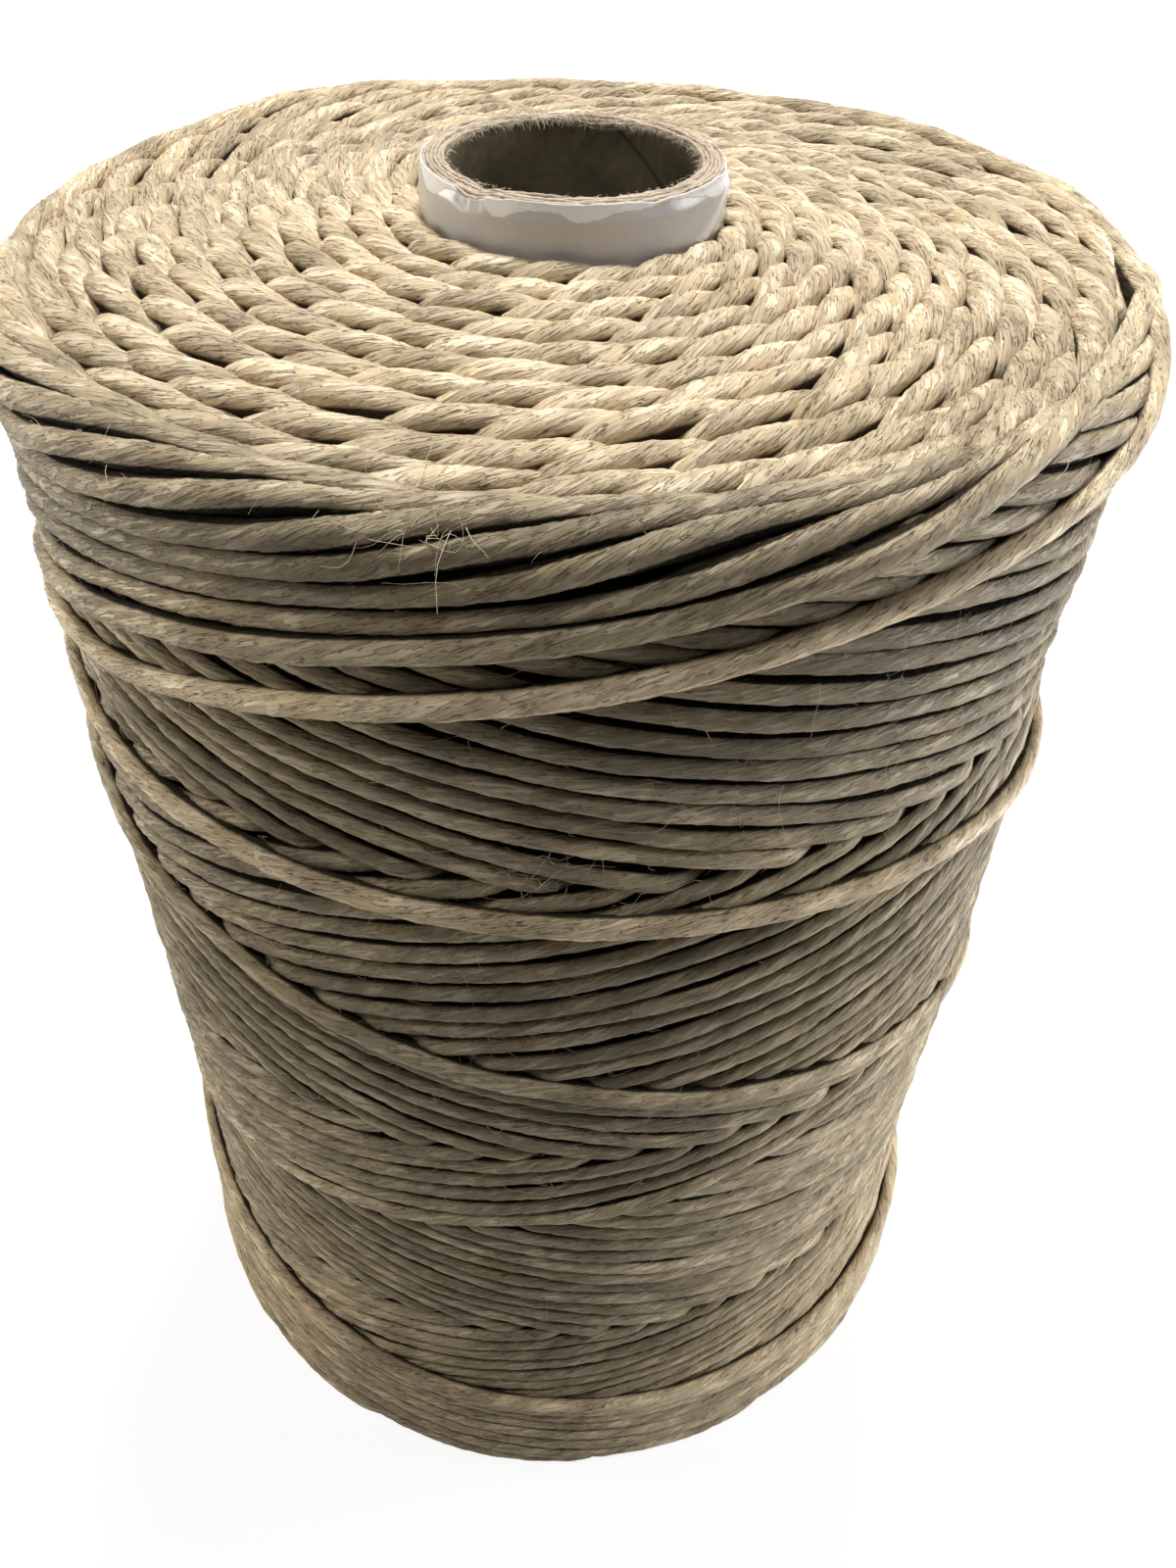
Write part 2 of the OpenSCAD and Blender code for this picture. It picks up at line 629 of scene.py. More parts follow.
    def _groove(self, graph: Graph, uv: bpy.types.NodeSocket) -> bpy.types.NodeSocket:
        """Makes a mask of the grooves between the plies.

        Args:
            graph: The material's graph.
            uv: The ply map.

        Returns:
            A value that is 1 along the grooves.
        """
        turn = graph.times(graph.axis(uv, "Y"), PLIES)
        across = graph.size(graph.minus(graph.math("FRACT", turn), 0.5))
        return graph.ramp(across, 0.0, self.groove_width, 1.0, 0.0)


@dataclass(frozen=True)
class PlainFinish:
    """A dull finish with grain: board, paper, shadowed twine and loose fibre."""

    name: str
    colour: Triple
    stain: Triple
    roughness: float = 0.8
    specular: float = 0.3
    grain: float = 900.0
    grain_depth: float = 0.00012
    patch: float = 60.0
    patch_part: float = 0.5
    seam: float = 0.0

    def material(self) -> bpy.types.Material:
        """Builds the material.

        Returns:
            The material, with fine grain and soft patches on object coordinates.
        """
        graph = Graph(self.name)
        place = graph.place()
        patches = graph.noise(place, scale=self.patch, detail=5.0)
        grain = graph.noise(place, scale=self.grain, detail=3.0)
        base = graph.mix(graph.ramp(patches, 0.42, 0.68, 0.0, self.patch_part), self.colour, self.stain)
        base = graph.scale_colour(base, graph.ramp(grain, 0.30, 0.70, 0.86, 1.10))
        if self.seam:
            base = graph.scale_colour(base, self._seam(graph, place))
        shader = graph.principled()
        graph.link(base, shader.inputs["Base Color"])
        graph.link(graph.bump(grain, strength=0.5, distance=self.grain_depth), shader.inputs["Normal"])
        shader.inputs["Roughness"].default_value = self.roughness
        shader.inputs["Specular IOR Level"].default_value = self.specular
        return graph.material

    def _seam(self, graph: Graph, place: bpy.types.NodeSocket) -> bpy.types.NodeSocket:
        """Darkens a thin spiral line where the edges of a wound strip meet: partly the joint itself and
        partly painted shadow of the strip's edge.

        Args:
            graph: The material's graph.
            place: The coordinate on the object.

        Returns:
            A factor for the colour.
        """
        turn = graph.math("ARCTAN2", graph.axis(place, "Y"), graph.axis(place, "X"))
        rise = graph.times(graph.axis(place, "Z"), math.tau / self.seam)
        phase = graph.math("FRACT", graph.times(graph.plus(turn, rise), 1.0 / math.tau))
        return graph.ramp(graph.size(graph.minus(phase, 0.5)), 0.0, 0.008, 0.45, 1.0)


@dataclass(frozen=True)
class CoverFinish:
    """Satin white paper whose torn-off top layer shows chalky white fibre."""

    satin: Triple = (0.560, 0.552, 0.560)
    chalk_and_highlight: Triple = (0.930, 0.920, 0.920)
    soil: Triple = (0.480, 0.440, 0.410)
    satin_roughness: float = 0.26
    chalk_roughness: float = 0.90
    specular: float = 0.55
    relief_height: float = 0.00015

    def material(self) -> bpy.types.Material:
        """Builds the cover's material.

        Returns:
            The material, which reads the tear attribute and the attribute of the painted highlight along the
            fold.
        """
        graph = Graph("cover_paper")
        place = graph.place()
        torn = graph.ramp(graph.attribute("tear"), 0.45, 0.55, 0.0, 1.0)
        # The chalk colour goes on the torn layer and, as a painted highlight, along the fold.
        chalk_and_highlight = graph.math("MAXIMUM", torn, graph.attribute("crease_highlight"))
        grain = graph.noise(place, scale=900.0, detail=3.0)
        dirt = graph.noise(place, scale=70.0, detail=4.0)
        base = graph.mix(graph.ramp(dirt, 0.50, 0.78, 0.0, 0.45), self.satin, self.soil)
        base = graph.mix(chalk_and_highlight, base, self.chalk_and_highlight)
        shader = graph.principled()
        graph.link(base, shader.inputs["Base Color"])
        gloss = graph.ramp(chalk_and_highlight, 0.0, 1.0, self.satin_roughness, self.chalk_roughness)
        graph.link(gloss, shader.inputs["Roughness"])
        soft = graph.times(graph.noise(place, scale=160.0, detail=2.0), 2.0)
        relief = graph.plus(soft, graph.times(grain, graph.plus(chalk_and_highlight, 0.15)))
        graph.link(graph.bump(relief, strength=0.6, distance=self.relief_height), shader.inputs["Normal"])
        shader.inputs["Specular IOR Level"].default_value = self.specular
        return graph.material


@dataclass
class Outline:
    """The surface through the middle of the outer turns, walked from the foot up over the shoulder.

    A run is a distance in millimetres along the half outline. On the side it equals the height,
    past the shoulder it goes inwards over the top face, and below the foot edge it goes inwards
    under the foot.
    """

    side_r: float
    top_z: float
    shoulder_r: float = 5.0
    foot_r: float = 2.6
    foot_z: float = 1.75
    waist_in: float = 1.0
    waist_z: float = 60.0
    waist_reach: float = 42.0
    swell: float = 0.6
    swell_z: float = 100.0
    swell_height: float = 90.0
    flare: float = 1.6
    flare_z: float = 22.0
    neck: float = 1.5
    neck_z: float = 190.0
    neck_reach: float = 27.0
    rim: float = 1.3
    rim_z: float = 226.0
    rim_height: float = 12.0
    bulge: float = 0.6
    bulge_z: float = 228.0
    bulge_height: float = 10.0
    bulge_sector: Sector = Sector(15.0, 40.0, 45.0)
    sag: float = 1.8
    sag_z: float = 222.0
    sag_height: float = 18.0
    rise_right: float = 1.3
    rise_left: float = 1.2

    @property
    def shoulder_z(self) -> float:
        """Height at which the side turns into the shoulder."""
        return self.top_z - self.shoulder_r

    @property
    def shoulder_run(self) -> float:
        """Run at which the shoulder turns into the top face."""
        return self.shoulder_z + self.shoulder_r * math.pi / 2.0

    @property
    def low_z(self) -> float:
        """Height at which the side turns into the foot edge."""
        return self.foot_z + self.foot_r

    def droop(self, angle: np.ndarray) -> np.ndarray:
        """Returns how much lower the rim of the top face lies at an angle, most at the front."""
        rise = self.rise_right * RISE_RIGHT.part(angle) + self.rise_left * RISE_LEFT.part(angle)
        return self.sag * frontness(angle) - rise

    def radius(self, z: np.ndarray, angle: np.ndarray) -> np.ndarray:
        """Gives the radius of the side.

        It has a waist, a slight swell, a flare at the foot, a neck and a rim under the shoulder,
        which stands out furthest where the last turns climb on to the top face.

        Args:
            z: Height of each place.
            angle: Angle round the axis of each place.

        Returns:
            The radius at each place.
        """
        waist = self.waist_in * (1.0 - ease(np.abs(z - self.waist_z) / self.waist_reach))
        swell = self.swell * ease((z - self.swell_z) / self.swell_height)
        flare = self.flare * ease((self.flare_z - z) / self.flare_z)
        neck = self.neck * (1.0 - ease(np.abs(z - self.neck_z) / self.neck_reach))
        rim = self.rim * ease((z - self.rim_z) / self.rim_height)
        bulge = self.bulge * self.bulge_sector.part(angle) * ease((z - self.bulge_z) / self.bulge_height)
        return self.side_r - waist + swell + flare - neck + rim + bulge

    def place(self, run: np.ndarray, angle: np.ndarray, lift: np.ndarray) -> tuple[np.ndarray, np.ndarray]:
        """Places points on the surface.

        Args:
            run: Distance along the half outline of each point.
            angle: Angle round the axis of each point.
            lift: Distance of each point out from the surface.

        Returns:
            The points and their outward normals, as arrays of three columns.
        """
        top_in = self.radius(np.array(self.shoulder_z), angle) - self.shoulder_r
        foot_in = self.radius(np.array(self.low_z), angle) - self.foot_r
        over = (run - self.shoulder_z) / self.shoulder_r
        under = (self.low_z - run) / self.foot_r
        lean = np.where(over > 0.0, np.minimum(over, math.pi / 2.0), np.zeros_like(run))
        lean = np.where(under > 0.0, -np.minimum(under, math.pi / 2.0), lean)
        r = np.where(over > 0.0, top_in + self.shoulder_r * np.cos(lean), self.radius(run, angle))
        r = np.where(under > 0.0, foot_in + self.foot_r * np.cos(lean), r)
        z = np.where(over > 0.0, self.shoulder_z + self.shoulder_r * np.sin(lean), run)
        z = np.where(under > 0.0, self.low_z + self.foot_r * np.sin(lean), z)
        r = r - np.maximum(run - self.shoulder_run, 0.0)
        r = r - np.maximum(self.low_z - self.foot_r * math.pi / 2.0 - run, 0.0)
        turn = np.radians(angle)
        z = z - self.droop(angle) * ease((z - self.sag_z) / self.sag_height)
        out = np.stack([np.cos(turn), np.sin(turn)], axis=1)
        normal = np.column_stack([out * np.cos(lean)[:, None], np.sin(lean)])
        point = np.column_stack([out * r[:, None], z])
        return point + normal * lift[:, None], normal


@dataclass
class Strand:
    """One stretch of twine: its middle line, the way it faces, its size and its look.

    Tone brightens or darkens it, partly as painted light and painted shadow. The wear value darkens it
    towards the worn colour, partly for real rubbing and dirt and partly as painted shade. Shade sets the
    painted shade on its flanks where it lies beside its neighbours.
    """

    points: np.ndarray
    normals: np.ndarray
    half_width: float | np.ndarray = 2.0
    half_height: float | np.ndarray = 1.85
    tone: float | np.ndarray = 1.0
    wear_and_shade: float | np.ndarray = 0.5
    twist_from: float = 0.0
    shade: float | np.ndarray = 1.0


@dataclass
class StrandMesh:
    """Sweeps strands into one mesh with six rounded plies laid left-handed along each."""

    name: str
    lay: float = 47.0
    ply_depth: float = 0.014
    lump: float = 0.018
    lump_waves: tuple[tuple[float, int], ...] = ((4.3, 1), (7.1, 2), (11.7, 3))
    lump_phase: float = 9.0
    blunt: float = 0.84
    tip: float = 2.2
    tip_least: float = 0.02
    floor_gap: float = 0.06
    strands: list[Strand] = field(default_factory=list)

    def sections(self, strand: Strand) -> tuple[np.ndarray, np.ndarray, np.ndarray]:
        """Finds the corners of a strand's sections.

        Args:
            strand: The stretch of twine to sweep.

        Returns:
            The corners, one row of CORNERS points to a section, the length up to each section, and
            how deep each corner lies, from 0 on the outer side to 1 on the inner side, times the strand's
            shade; this drives the painted shade between turns.
        """
        points = strand.points
        steps = np.linalg.norm(np.diff(points, axis=0), axis=1)
        along = np.concatenate([[0.0], np.cumsum(steps)])
        way = np.gradient(points, axis=0)
        way /= np.linalg.norm(way, axis=1, keepdims=True)
        out = strand.normals - way * np.sum(strand.normals * way, axis=1, keepdims=True)
        out /= np.linalg.norm(out, axis=1, keepdims=True)
        across = np.cross(way, out)
        ends = np.clip(np.minimum(along, along[-1] - along) / self.tip, 0.0, 1.0)
        round_off = np.sqrt(np.clip(1.0 - (1.0 - ends) ** 2, self.tip_least, 1.0))
        twist = strand.twist_from + math.tau * along / self.lay
        turn = math.tau * np.arange(CORNERS)[None, :] / CORNERS + twist[:, None]
        ply = self._ply(along, strand.twist_from)
        wide = (strand.half_width * round_off)[:, None] * self._blunted(np.cos(turn)) * ply
        high = (strand.half_height * round_off)[:, None] * self._blunted(np.sin(turn)) * ply
        ring = points[:, None, :] + wide[:, :, None] * across[:, None, :]
        ring = ring + high[:, :, None] * out[:, None, :]
        ring[:, :, 2] = np.maximum(ring[:, :, 2], self.floor_gap)
        # Painted shade: deep grows on the inner flanks, scaled by the strand's shade.
        deep = np.broadcast_to(strand.shade, len(along))[:, None] * (0.5 - 0.5 * np.sin(turn))
        return ring, along, deep

    def _ply(self, along: np.ndarray, twist_from: float) -> np.ndarray:
        """Gives the rounding of the plies and the lumps of the spinning.

        Args:
            along: Length up to each section.
            twist_from: The strand's own starting twist, which shifts its lumps.

        Returns:
            A factor for every corner's distance from the middle line.
        """
        corner = np.arange(CORNERS)
        ply = 1.0 + self.ply_depth * np.where(corner % 2 == 0, 1.0, -1.0)[None, :]
        for wave, lobes in self.lump_waves:
            swell = math.tau * (along[:, None] / wave + lobes * corner[None, :] / CORNERS)
            ply = ply + self.lump * np.sin(swell + self.lump_phase * lobes * twist_from)
        return ply

    def _blunted(self, x: np.ndarray) -> np.ndarray:
        """Returns a sine or cosine pushed outwards, which presses the round section flatter."""
        return np.sign(x) * np.abs(x) ** self.blunt

    def build(self) -> bpy.types.Object:
        """Makes the mesh of all the strands.

        Returns:
            The new object, with its ply map and its tone, wear and deep attributes; deep drives the painted
            shade between turns.
        """
        vertices, corners, sizes, maps = [], [], [], []
        tones, wear_and_shades, deeps = [], [], []
        ring = np.arange(CORNERS)
        first = 0
        for strand in self.strands:
            rings, along, deep = self.sections(strand)
            count = len(along)
            vertices.append(rings.reshape(-1, 3))
            tones.append(np.repeat(np.broadcast_to(strand.tone, count), CORNERS))
            wear_and_shades.append(np.repeat(np.broadcast_to(strand.wear_and_shade, count), CORNERS))
            deeps.append(deep.reshape(-1))
            last = first + (count - 1) * CORNERS
            corners += [self._quads(first, count), first + ring, last + ring[::-1]]
            sizes += [np.full((count - 1) * CORNERS, 4), np.array([CORNERS, CORNERS])]
            maps += [self._map(along, strand.twist_from), np.zeros((2 * CORNERS, 2))]
            first += count * CORNERS
        looks = {"tone": np.concatenate(tones), "wear_and_shade": np.concatenate(wear_and_shades), "deep": np.concatenate(deeps)}
        mesh = self._mesh(np.concatenate(vertices), np.concatenate(corners), np.concatenate(sizes))
        uv_layer = mesh.uv_layers.new(name=UV_NAME)
        uv_layer.data.foreach_set("uv", np.concatenate(maps).astype(np.float32).ravel())
        add_looks(mesh, looks)
        mesh.update(calc_edges=True)
        mesh.shade_smooth()
        return add_object(self.name, mesh)

    @staticmethod
    def _quads(first: int, count: int) -> np.ndarray:
        """Lists the corners of the faces between the sections of one strand.

        Args:
            first: Index of the strand's first vertex.
            count: Number of its sections.

        Returns:
            Four vertex indices for each face, in one row.
        """
        start = first + np.arange(count - 1)[:, None] * CORNERS
        a = start + np.arange(CORNERS)
        b = start + (np.arange(CORNERS) + 1) % CORNERS
        return np.stack([a, a + CORNERS, b + CORNERS, b], axis=2).reshape(-1)

    @staticmethod
    def _map(along: np.ndarray, twist_from: float) -> np.ndarray:
        """Lays the ply map on the faces between the sections of one strand.

        Args:
            along: Length up to each section.
            twist_from: The strand's own starting twist, which shifts its map.

        Returns:
            One row for each face corner: the way along the strand and the way round it.
        """
        u = along * UV_PER_MM + twist_from * UV_SHIFT
        v = np.arange(CORNERS) / CORNERS
        u0, v0 = np.meshgrid(u[:-1], v, indexing="ij")
        u1, v1 = np.meshgrid(u[1:], v + 1.0 / CORNERS, indexing="ij")
        quad = [np.stack(pair, axis=2) for pair in ((u0, v0), (u1, v0), (u1, v1), (u0, v1))]
        return np.stack(quad, axis=2).reshape(-1, 2)

    def _mesh(self, vertices: np.ndarray, corners: np.ndarray, sizes: np.ndarray) -> bpy.types.Mesh:
        """Fills a Blender mesh from arrays.

        Args:
            vertices: The vertices in millimetres.
            corners: The vertex index of every face corner.
            sizes: The number of corners of each face.

        Returns:
            The mesh, without its edges.
        """
        mesh = bpy.data.meshes.new(self.name)
        mesh.vertices.add(len(vertices))
        mesh.vertices.foreach_set("co", (vertices * MM).astype(np.float32).ravel())
        mesh.loops.add(len(corners))
        mesh.loops.foreach_set("vertex_index", corners.astype(np.int32))
        mesh.polygons.add(len(sizes))
        starts = np.concatenate([[0], np.cumsum(sizes)[:-1]])
        mesh.polygons.foreach_set("loop_start", starts.astype(np.int32))
        return mesh


def strand_piece(name: str, strands: list[Strand], twine: bpy.types.Material, *nodes: str) -> None:
    """Builds and dresses one piece made of strands."""
    dress(StrandMesh(name, strands=strands).build(), twine, TWINE, *nodes)


@dataclass
class LastTurns:
    """The last laid length of twine: it crosses the others proud and ends as the ledge of the foot band.

    Its route is given by knots of an unwound angle and a run.
    """

    outline: Outline
    first_angle: float = 60.0
    end_angle: float = 1226.0
    step: float = 1.5
    lift: float = 2.3
    shoulder_lift: float = 1.3
    shoulder_from: float = 232.0
    shoulder_fade: float = 9.0
    band_lift: float = 3.4
    band_angle: float = 925.0
    band_fade: float = 50.0
    bury: float = 3.2
    hump: float = 0.9
    hump_angle: float = 539.0
    hump_reach: float = 7.0
    ledge_angle: float = 865.0
    ledge_from: float = 145.0
    row_angle: float = 856.0
    row_fade: float = 36.0
    row_pitch: float = 4.05
    row_lift: float = 2.7
    row_end: float = -1.8
    rows: int = 21
    least_samples: int = 14
    lowest: float = 1.95
    half_width: float = 1.78
    half_height: float = 2.0
    # A tone above 1 is painted light, where the proud last turn stands out into the light.
    tone: float = 1.30
    wear_and_shade: float = 0.20
    shade: float = 0.62
    twist_from: float = 0.4
    row_width: float = 1.84
    row_height: float = 1.85
    # The foot rows' tone above 1 is painted light near the floor.
    row_tone: float = 1.16
    row_wear_and_shade: float = 0.42
    row_shade: float = 0.84
    seed: int = 21
    knots: tuple[tuple[float, float], ...] = (
        (60, 150.0), (110, 168.0), (160, 184.0), (210, 201.5), (225, 204.5), (240, 210.5), (260, 217.5),
        (280, 223.5), (300, 229.5), (320, 235.0), (338, 240.0), (356, 243.0), (374, 242.0), (395, 237.0),
        (420, 228.5), (480, 208.0), (540, 190.0), (570, 182.5), (600, 180.5), (620, 179.5), (640, 178.5),
        (660, 176.0), (686, 171.0), (720, 162.5), (760, 146.5), (800, 127.0), (850, 98.0), (895, 62.0),
        (915, 49.0), (930, 38.5), (945, 33.0), (960, 29.5), (990, 24.5), (1020, 21.0), (1050, 15.5),
        (1080, 11.5), (1110, 8.5), (1150, 5.5), (1200, 3.2), (1226, 2.6),
    )

    @property
    def pace(self) -> float:
        """Angle between two samples of the route."""
        return math.degrees(self.step / self.outline.side_r)

    def route(self, angle: np.ndarray) -> np.ndarray:
        """Gives the run along the outline at each angle of the route.

        Args:
            angle: Unwound angle of each place, in degrees.

        Returns:
            The run of each place, on a smooth curve through the knots.
        """
        x = np.array([knot[0] for knot in self.knots], dtype=float)
        y = np.array([knot[1] for knot in self.knots])
        slope = np.gradient(y, x)
        index = np.clip(np.searchsorted(x, angle) - 1, 0, len(x) - 2)
        width = x[index + 1] - x[index]
        u = (angle - x[index]) / width
        rise = (y[index + 1] - y[index]) * (3 * u ** 2 - 2 * u ** 3) + y[index]
        start = slope[index] * (u ** 3 - 2 * u ** 2 + u)
        end = slope[index + 1] * (u ** 3 - u ** 2)
        return rise + width * (start + end)

    def ledge(self, angle: np.ndarray) -> np.ndarray:
        """Returns the height of the foot band's upper edge at an angle round the axis."""
        return self.route(np.mod(angle - self.ledge_from, 360.0) + self.ledge_angle)

    def build(self, twine: bpy.types.Material) -> None:
        """Builds and dresses the last turns."""
        strand_piece("last_turns", self.strands(), twine)

    def strands(self) -> list[Strand]:
        """Makes the last turns.

        Returns:
            The one long strand, and the rows that lie below its ledge.
        """
        rng = np.random.default_rng(self.seed)
        angle = np.arange(self.first_angle, self.end_angle, self.pace)
        along = np.arange(len(angle)) * self.step
        run = self.route(angle)
        band = ease((angle - self.band_angle) / self.band_fade)
        over = ease((run - self.shoulder_from) / self.shoulder_fade)
        lift = self.lift + (self.band_lift - self.lift) * band + (self.shoulder_lift - self.lift) * over
        lift += self.hump * hill(angle, self.hump_angle, self.hump_reach)
        ends = ease((angle - angle[0]) / 30.0) * ease((angle[-1] - angle) / 40.0)
        lift = ends * (lift + self.bury) - self.bury + wander(rng, along, 0.12, 70.0)
        points, normals = self.outline.place(run, angle, lift)
        tone = self.tone - 0.12 * band - 0.14 * over + wander(rng, along, 0.04, 140.0)
        half_width = self.half_width + 0.17 * over - 0.04 * band + wander(rng, along, 0.06, 40.0)
        half_height = self.half_height - 0.1 * band
        wear_and_shade = self.wear_and_shade + 0.10 * band
        shade = self.shade - 0.20 * band
        long_strand = Strand(points, normals, half_width, half_height, tone, wear_and_shade, self.twist_from, shade)
        return [long_strand] + self._foot_rows(rng)

    def _foot_rows(self, rng: np.random.Generator) -> list[Strand]:
        """Makes the rows of the foot band, which run side by side below its ledge down to the floor.

        Args:
            rng: Source of the random deviations.

        Returns:
            The rows.
        """
        angle = np.arange(self.row_angle, self.end_angle, self.pace)
        ledge = self.route(angle)
        slope = np.gradient(ledge) / self.step
        foot = self.outline.low_z
        found = []
        for row in range(1, self.rows + 1):
            run = ledge - self.row_pitch * row * np.sqrt(1.0 + slope ** 2)
            count = int(np.count_nonzero(run > self.row_end))
            if count < self.least_samples:
                break
            along = np.arange(count) * self.step
            turn = angle[:count]
            fade = ease((turn - self.row_angle) / self.row_fade)
            ends = ease(along / 16.0) * ease((along[-1] - along) / 22.0)
            lift = ends * (self.row_lift * fade + self.bury) - self.bury + wander(rng, along, 0.10, 60.0)
            height = run[:count] + rng.normal(0.0, 0.12) + wander(rng, along, 0.12, 80.0)
            points, normals = self.outline.place(np.maximum(height, foot), turn, lift)
            points[:, 2] -= foot - np.clip(height, self.lowest, foot)
            tone = rng.normal(self.row_tone, 0.07) + wander(rng, along, 0.03, 120.0)
            wear_and_shade = float(np.clip(rng.normal(self.row_wear_and_shade, 0.08), 0.0, 1.0))
            found.append(Strand(points, normals, self.row_width, self.row_height, tone, wear_and_shade,
                                rng.uniform(*ANY_TWIST), self.row_shade))
        return found


@dataclass
class CrossWinding:
    """The outer turns: steep strokes up and down that turn round at the shoulder and cover each other.

    Every turn has a birthday between 0 for the oldest and 1 for the newest. Where an upward and a
    downward stroke meet, the younger one shows, and the newest strokes meet at one crossing.
    """

    outline: Outline
    last: LastTurns
    cross_angle: float = -30.0
    cross_run: float = 120.0
    up_slope: float = 0.361
    down_slope: float = 0.371
    turns: int = 30
    turn_round: float = 8.5
    reach_in: float = 1.0
    slant_reach_in: float = 1.6
    back_reach_in: float = 0.8
    reach_run: float = 229.0
    reach_fade: float = 15.0
    foot_clear: float = 5.0
    step: float = 1.55
    shortest: float = 4.0
    sink: float = 2.8
    tuck: float = 10.0
    turn_tuck: float = 19.0
    turn_reach: float = 9.0
    newest_from: float = 0.955
    newest_fade: float = 0.02
    newest_lift: float = 1.7
    turn_clear: float = 4.0
    late_clear: float = 1.5
    clear: float = 3.2
    proud_from: float = 0.93
    half_width: float = 1.80
    half_height: float = 1.95
    tone_spread: float = 0.085
    wear_and_shade_spread: float = 0.09
    painted_rim_shadow: float = 0.15
    seed: int = 7
    front: Sector = Sector(-88.0, 45.0, 30.0)
    lighter_low_right: Sector = Sector(-10.0, 40.0, 30.0)
    rim_shadow: Sector = Sector(-98.0, 32.0, 28.0)
    back_rim: Sector = Sector(95.0, 95.0, 35.0)
    light_left: Sector = Sector(-165.0, 30.0, 20.0)
    # Patches of painted shadow on the side, low at the front and high at the front right.
    painted_shadows: tuple[PaintedShadow, ...] = (
        PaintedShadow(Sector(-100.0, 24.0, 22.0), 156.0, 22.0, 0.22),
        PaintedShadow(Sector(-62.0, 18.0, 20.0), 218.0, 18.0, 0.28),
    )

    @property
    def turn_run(self) -> float:
        """Run at which the straight strokes would meet at the shoulder."""
        diamond = 360.0 * self.up_slope * self.down_slope / (self.up_slope + self.down_slope)
        return self.cross_run + 2.0 * diamond

    def birthday(self, stroke: Stroke, run: np.ndarray, angle: np.ndarray) -> np.ndarray:
        """Gives the birthday of the stroke that passes each place, for one direction of winding.

        Args:
            stroke: The direction.
            run: Run of each place.
            angle: Angle round the axis of each place.

        Returns:
            The birthday at each place.
        """
        slope = self.up_slope if stroke is Stroke.UP else -self.down_slope
        newest = self.cross_run + slope * (angle - self.cross_angle)
        return np.mod((newest - run) / (360.0 * slope), 1.0)

    def build(self, twine: bpy.types.Material) -> None:
        """Builds and dresses the outer turns, dealt out over a few pieces.

        Args:
            twine: The twine's material.
        """
        turns = self.strands()
        LOG.info("stretches of the outer turns: %d", len(turns))
        for number in range(SIDE_PIECES):
            nodes = ("side_turns",) if number == 0 else ()
            strand_piece(f"outer_turns_{number + 1}", turns[number::SIDE_PIECES], twine, *nodes)

    def strands(self) -> list[Strand]:
        """Makes the visible stretches of every turn.

        Returns:
            The stretches, each dipping under its neighbours at both ends.
        """
        rng = np.random.default_rng(self.seed)
        pace = math.degrees(self.step / math.hypot(self.outline.side_r, math.degrees(self.up_slope)))
        first = -(self.turn_run - 6.0) / self.up_slope
        final = (self.turn_run + 3.0) / self.down_slope
        off = np.arange(first, final, pace)
        up_line = self.turn_run + self.up_slope * off
        down_line = self.turn_run - self.down_slope * off
        run = (up_line + down_line) / 2.0 - np.hypot((up_line - down_line) / 2.0, self.turn_round)
        top_angle = self.cross_angle + (self.turn_run - self.cross_run) / self.up_slope
        found = []
        for number in range(self.turns):
            born = (number + 0.5) / self.turns
            angle = top_angle + 360.0 * born + off
            in_foot = run < self.last.ledge(angle) - self.foot_clear
            inward = self.reach_in + self.slant_reach_in * SLANT.part(angle)
            inward = inward + self.back_reach_in * BACK.part(angle)
            way = run + inward * ease((run - self.reach_run) / self.reach_fade)
            falling = self.birthday(Stroke.DOWN, run, angle)
            rival = np.where(off < 0.0, falling, self.birthday(Stroke.UP, run, angle))
            later = 0.5 / self.turns * np.sign(off) * ease((np.abs(off) - 8.0) / 10.0)
            shown = (born + later > rival) & ~in_foot
            for a, b in self._stretches(shown):
                ends = [self._end(rival, off, a, -1), self._end(rival, off, b, 1)]
                found.append(self._stretch(rng, way, angle, off, (a, b), ends, born))
        return found

    def _stretches(self, shown: np.ndarray) -> list[tuple[int, int]]:
        """Returns the first and last index of each visible stretch that is long enough to keep."""
        edges = np.flatnonzero(np.diff(np.concatenate([[0], shown.astype(int), [0]])))
        return [(a, b - 1) for a, b in zip(edges[::2], edges[1::2]) if (b - a) * self.step > self.shortest]

    def _end(self, rival: np.ndarray, off: np.ndarray, index: int, way: int) -> tuple[float, float]:
        """Tells how one end of a stretch dives under what covers it.

        Under the newest turn, which lies proud, it dives late. At the turning point it dives slowly.

        Args:
            rival: Birthday of the stroke that may cover each sample.
            off: Angle of each sample from the turning point.
            index: The end's sample.
            way: -1 at the start of the stretch and 1 at its end.

        Returns:
            How far before its covered place the end starts to dive, and how long the dive is.
        """
        if abs(off[index]) < self.turn_reach:
            return self.turn_clear, self.turn_tuck
        beyond = rival[min(max(index + way * 2, 0), len(rival) - 1)]
        return (self.late_clear if beyond > self.proud_from else self.clear), self.tuck

